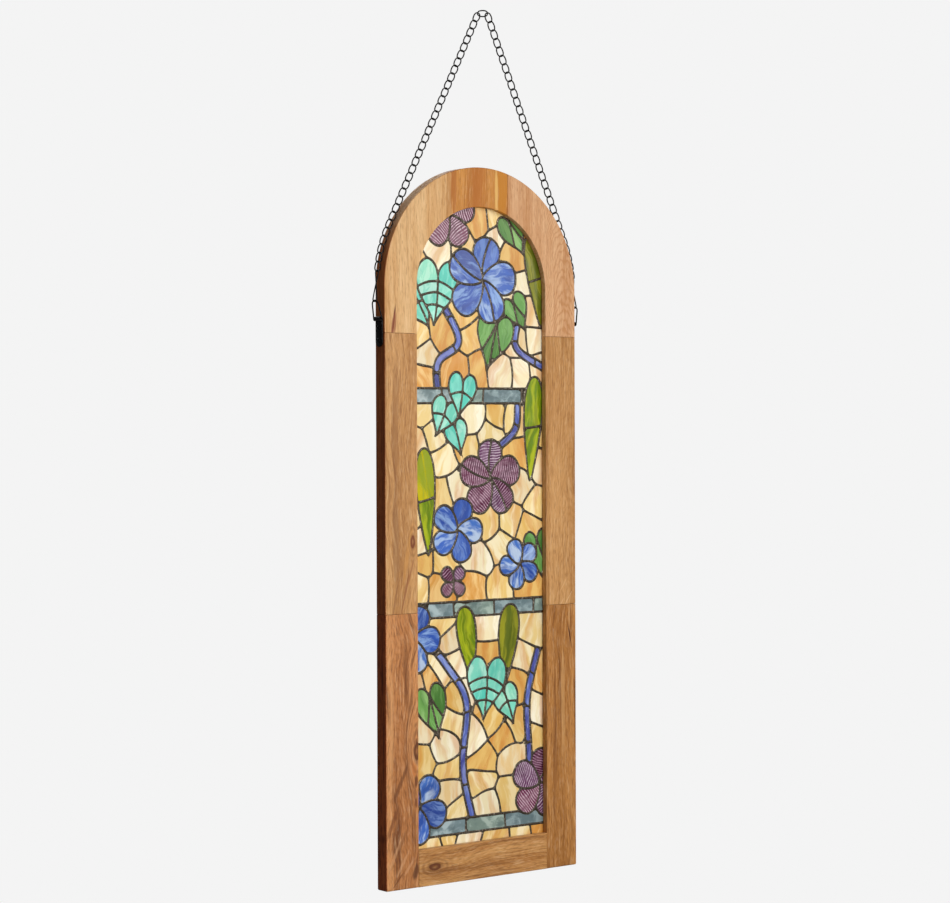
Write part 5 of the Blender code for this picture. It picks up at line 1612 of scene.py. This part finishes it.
def link_line(start, end, length, width, twist, normal, steps):
    """The middle of a link's wire: a squarish oval along its axis, cosine and sine raised to a power below
    1, whose two sides lean out of its plane."""
    start, end = np.asarray(start), np.asarray(end)
    along = (end - start) / np.linalg.norm(end - start)
    normal = normal - along * float(normal @ along)
    normal = normal / np.linalg.norm(normal)
    across = np.cross(normal, along)
    turn = np.linspace(0, 2 * math.pi, steps, endpoint=False) + math.pi / steps
    forward = np.sign(np.cos(turn)) * np.abs(np.cos(turn)) ** LINK_SQUARENESS
    sideways = np.sign(np.sin(turn)) * np.abs(np.sin(turn)) ** LINK_SQUARENESS
    return ((start + end) / 2 + np.outer(forward * length / 2, along)
            + np.outer(sideways * width / 2, across) + np.outer(np.sin(2 * turn) * twist, normal))


def top_link_drop():
    """How far the top link's middle lies below the point where it rests on the hook."""
    return LINK_WIDTH / 2 - LINK_WIRE


def chain_joints(sign):
    """Points where the links of one side meet, from the top link along a straight run that touches the
    arch, then around the arch's rim to the long hook."""
    rim = HALF_WIDTH + RIM_GAP + LINK_WIDTH / 2
    top = np.array([sign * LINK_PITCH / 2 * math.cos(TOP_LINK_TURN) - FRAME_X,
                    -sign * LINK_PITCH / 2 * math.sin(TOP_LINK_TURN),
                    FRAME_HEIGHT + CHAIN_RISE - top_link_drop()])
    away = np.array([sign * top[0], top[2] - ARCH_CENTRE_HEIGHT])
    distance = np.linalg.norm(away)
    touch = math.atan2(away[1], away[0]) - math.acos(rim / distance)
    final = math.asin((HOOK_TOP_HEIGHT - ARCH_CENTRE_HEIGHT) / rim)
    straight = math.sqrt(distance ** 2 - rim ** 2)
    total = straight + rim * (touch - final)
    count = round(total / LINK_PITCH)
    joints = []
    for run in np.linspace(0, total, count + 1):
        if run < straight:
            share = run / straight
            tangent = np.array([sign * rim * math.cos(touch), 0, ARCH_CENTRE_HEIGHT + rim * math.sin(touch)])
            joints.append(top + (tangent - top) * share)
        else:
            turn = touch - (run - straight) / rim
            joints.append(np.array([sign * rim * math.cos(turn), 0,
                                    ARCH_CENTRE_HEIGHT + rim * math.sin(turn)]))
    return [in_row(joint) for joint in joints]


def plane_normal(share):
    """The direction that a link faces: turned at the top, level with the frame where it meets the rim."""
    fade = min(max((share - STRAIGHT_SHARE) / (1 - STRAIGHT_SHARE), 0), 1)
    turn = TOP_LINK_TURN * (1 - fade)
    return np.array([math.sin(turn), math.cos(turn), 0])


def chain_links():
    """Every link of the chain in order, from the left hook over the top link to the right one, as its two
    ends and the direction it faces."""
    reach = np.array([math.cos(TOP_LINK_TURN), -math.sin(TOP_LINK_TURN), 0]) * LINK_PITCH / 2
    middle = np.array([0, 0, -top_link_drop()])
    sides = []
    for sign in (-1, 1):
        joints = chain_joints(sign)
        count = len(joints) - 1
        sides.append([(joints[i], joints[i + 1], plane_normal((i + 0.5) / count)) for i in range(count)])
    return sides[0][::-1] + [(middle - reach, middle + reach, plane_normal(0))] + sides[1]


def chain_shape():
    """The links of the chain, each an oval of round wire."""
    links = []
    for start, end, normal in chain_links():
        line = link_line(start, end, LINK_LENGTH - LINK_WIRE, LINK_WIDTH - LINK_WIRE, LINK_TWIST, normal, 30)
        links.append(looped_tube(line, LINK_WIRE / 2 * LINK_SWELL, 10, normal))
    return joined_shapes(links)


def hook_shape(sign):
    """A long connecting link between ring and chain, twisted a quarter turn from foot to top."""
    last = chain_joints(sign)[-1]
    overhang = (LINK_LENGTH - LINK_WIRE - LINK_PITCH) / 2
    apex_x, apex_z = ring_apex()
    ring_gap = (RING_WIRE + HOOK_WIRE) / 2 + CLEARANCE / 2
    link_gap = (LINK_WIRE + HOOK_WIRE) / 2 + CLEARANCE / 2
    foot = in_row((sign * apex_x, 0, apex_z - ring_gap))
    top = last + np.array([0, 0, link_gap - overhang])
    length = float(np.linalg.norm(top - foot))
    upward = (top - foot) / length
    radius = (HOOK_WIDTH - HOOK_WIRE) / 2
    turns = np.linspace(0, math.pi, 14)
    outline = [(radius * math.cos(t), length - radius + radius * math.sin(t)) for t in turns]
    sides = np.linspace(length - radius, radius, 13)[1:-1]
    outline += [(-radius, up) for up in sides]
    outline += [(radius * math.cos(t), radius + radius * math.sin(t)) for t in turns + math.pi]
    outline += [(radius, up) for up in sides[::-1]]
    line = []
    for across, up in outline:
        share = min(max((up - radius) / (length - 2 * radius), 0), 1)
        turn = math.pi / 2 * share
        line.append(foot + upward * up + across * np.array([math.cos(turn), math.sin(turn), 0]))
    return looped_tube(line, HOOK_WIRE / 2, 12, (0.5, 0.5, 0))


def build_hardware():
    """Straps, screws, rings, long links and chain."""
    chain_steel = steel_material("blackened_chain_steel", "#1C1A19", "#4A4644", 0.30)
    strap_steel = steel_material("blackened_strap_steel", "#161413", "#3A3634", 0.36)
    for side, sign in (("left", -1), ("right", 1)):
        for node, kind, shape in (("hanger", "strap", strap_shape(sign)), ("ring", "wire", ring_shape(sign)),
                                  ("hook", "wire", hook_shape(sign))):
            piece = add_piece(f"{node}_{side}_{kind}", *shape, [strap_steel])
            present(piece, "black_steel", f"{node}_{side}")
        for level, height in SCREW_HEIGHTS.items():
            piece = add_piece(f"screw_{side}_{level}_head", *screw_shape(sign, height), [strap_steel])
            present(piece, "black_steel", f"screw_{side}_{level}")
    present(add_piece("chain_links", *chain_shape(), [chain_steel], 60.0), "black_steel", "chain")


# Camera, backdrop and light


def build_camera():
    """The camera at the photograph's viewing angle."""
    yaw, pitch, roll = CAMERA_TURNS
    forward = np.array([math.sin(yaw) * math.cos(pitch), math.cos(yaw) * math.cos(pitch), math.sin(pitch)])
    right = np.array([math.cos(yaw), -math.sin(yaw), 0.0])
    up = np.cross(right, forward)
    right, up = (right * math.cos(roll) + up * math.sin(roll), up * math.cos(roll) - right * math.sin(roll))
    data = bpy.data.cameras.new("camera")
    data.sensor_width = SENSOR_WIDTH
    data.lens = FOCAL_SHARE * SENSOR_WIDTH
    data.clip_start = 0.05
    data.clip_end = 60.0
    made = bpy.data.objects.new("camera", data)
    matrix = Matrix.Identity(4)
    for i in range(3):
        matrix[i][0], matrix[i][1], matrix[i][2] = right[i], up[i], -forward[i]
    for i, value in enumerate(CAMERA_PLACE):
        matrix[i][3] = value
    made.matrix_world = matrix
    bpy.context.scene.collection.objects.link(made)
    bpy.context.scene.camera = made


def seen_plain(graph, strength, dim):
    """A strength that is full for what the camera sees and dim for the light it gives."""
    seen = graph.add("ShaderNodeLightPath").outputs["Is Camera Ray"]
    return graph.span(seen, 0.0, 1.0, dim, strength)


def build_backdrop():
    """A plain pale floor below the panel, and a world of the same tone."""
    world = bpy.data.worlds.new("studio")
    bpy.context.scene.world = world
    world.use_nodes = True
    graph = Graph(world.node_tree)
    background = world.node_tree.nodes["Background"]
    background.inputs["Color"].default_value = linear(BACKDROP_TONE)
    graph.feed(background.inputs["Strength"], seen_plain(graph, 1.0, 0.18))
    size = 6.0
    height = FRAME_Z - 0.35
    floor = bpy.data.meshes.new("floor")
    corners = [(size * x, size * y, height) for x, y in ((-1, -1), (1, -1), (1, 1), (-1, 1))]
    floor.from_pydata(corners, [], [(0, 1, 2, 3)])
    made, graph, shader = new_material("pale_floor")
    shader.inputs["Base Color"].default_value = (0.0, 0.0, 0.0, 1)
    shader.inputs["Roughness"].default_value = 1.0
    shader.inputs["Specular IOR Level"].default_value = 0.0
    shader.inputs["Emission Color"].default_value = linear(BACKDROP_TONE)
    graph.feed(shader.inputs["Emission Strength"], seen_plain(graph, 1.0, 0.16))
    floor.materials.append(made)
    piece = bpy.data.objects.new("floor", floor)
    bpy.context.scene.collection.objects.link(piece)


def area_light(name, spot, target, size, power, tone):
    """A soft rectangular light that looks at a point."""
    data = bpy.data.lights.new(name, "AREA")
    data.shape = "RECTANGLE"
    data.size, data.size_y = size
    data.energy = power
    data.color = linear(tone)[:3]
    made = bpy.data.objects.new(name, data)
    made.location = spot
    made.rotation_euler = (Vector(target) - Vector(spot)).to_track_quat("-Z", "Y").to_euler()
    made.visible_camera = False
    bpy.context.scene.collection.objects.link(made)


def build_lights():
    """A broad light from the front right and above, a weak one over the crown, a weak fill, an upright strip
    close to the front that reaches into the frame, and one from behind."""
    middle = (0.0, 0.0, -0.6)
    area_light("front_light", (1.1, -2.6, 0.6), middle, (2.2, 2.2), 40.0, "#FFFCF6")
    area_light("top_light", (-0.4, 0.02, 1.4), (-0.05, 0.0, -0.3), (0.8, 0.2), 7.5, "#FFFCF6")
    area_light("front_fill", (-0.2, -3.2, -0.5), middle, (1.6, 2.0), 12.0, "#FFFFFF")
    area_light("front_strip", (-0.10, -0.95, -0.62), (-0.01, 0.0, -0.62), (0.15, 1.4), 6.0, "#FFFCF6")
    area_light("back_light", (0.8, 2.6, 0.5), middle, (2.0, 2.0), 26.0, "#FFFFFF")


build_camera()
build_backdrop()
build_lights()
build_frame()
build_hardware()
build_panel()
bpy.context.scene.view_settings.view_transform = "Standard"
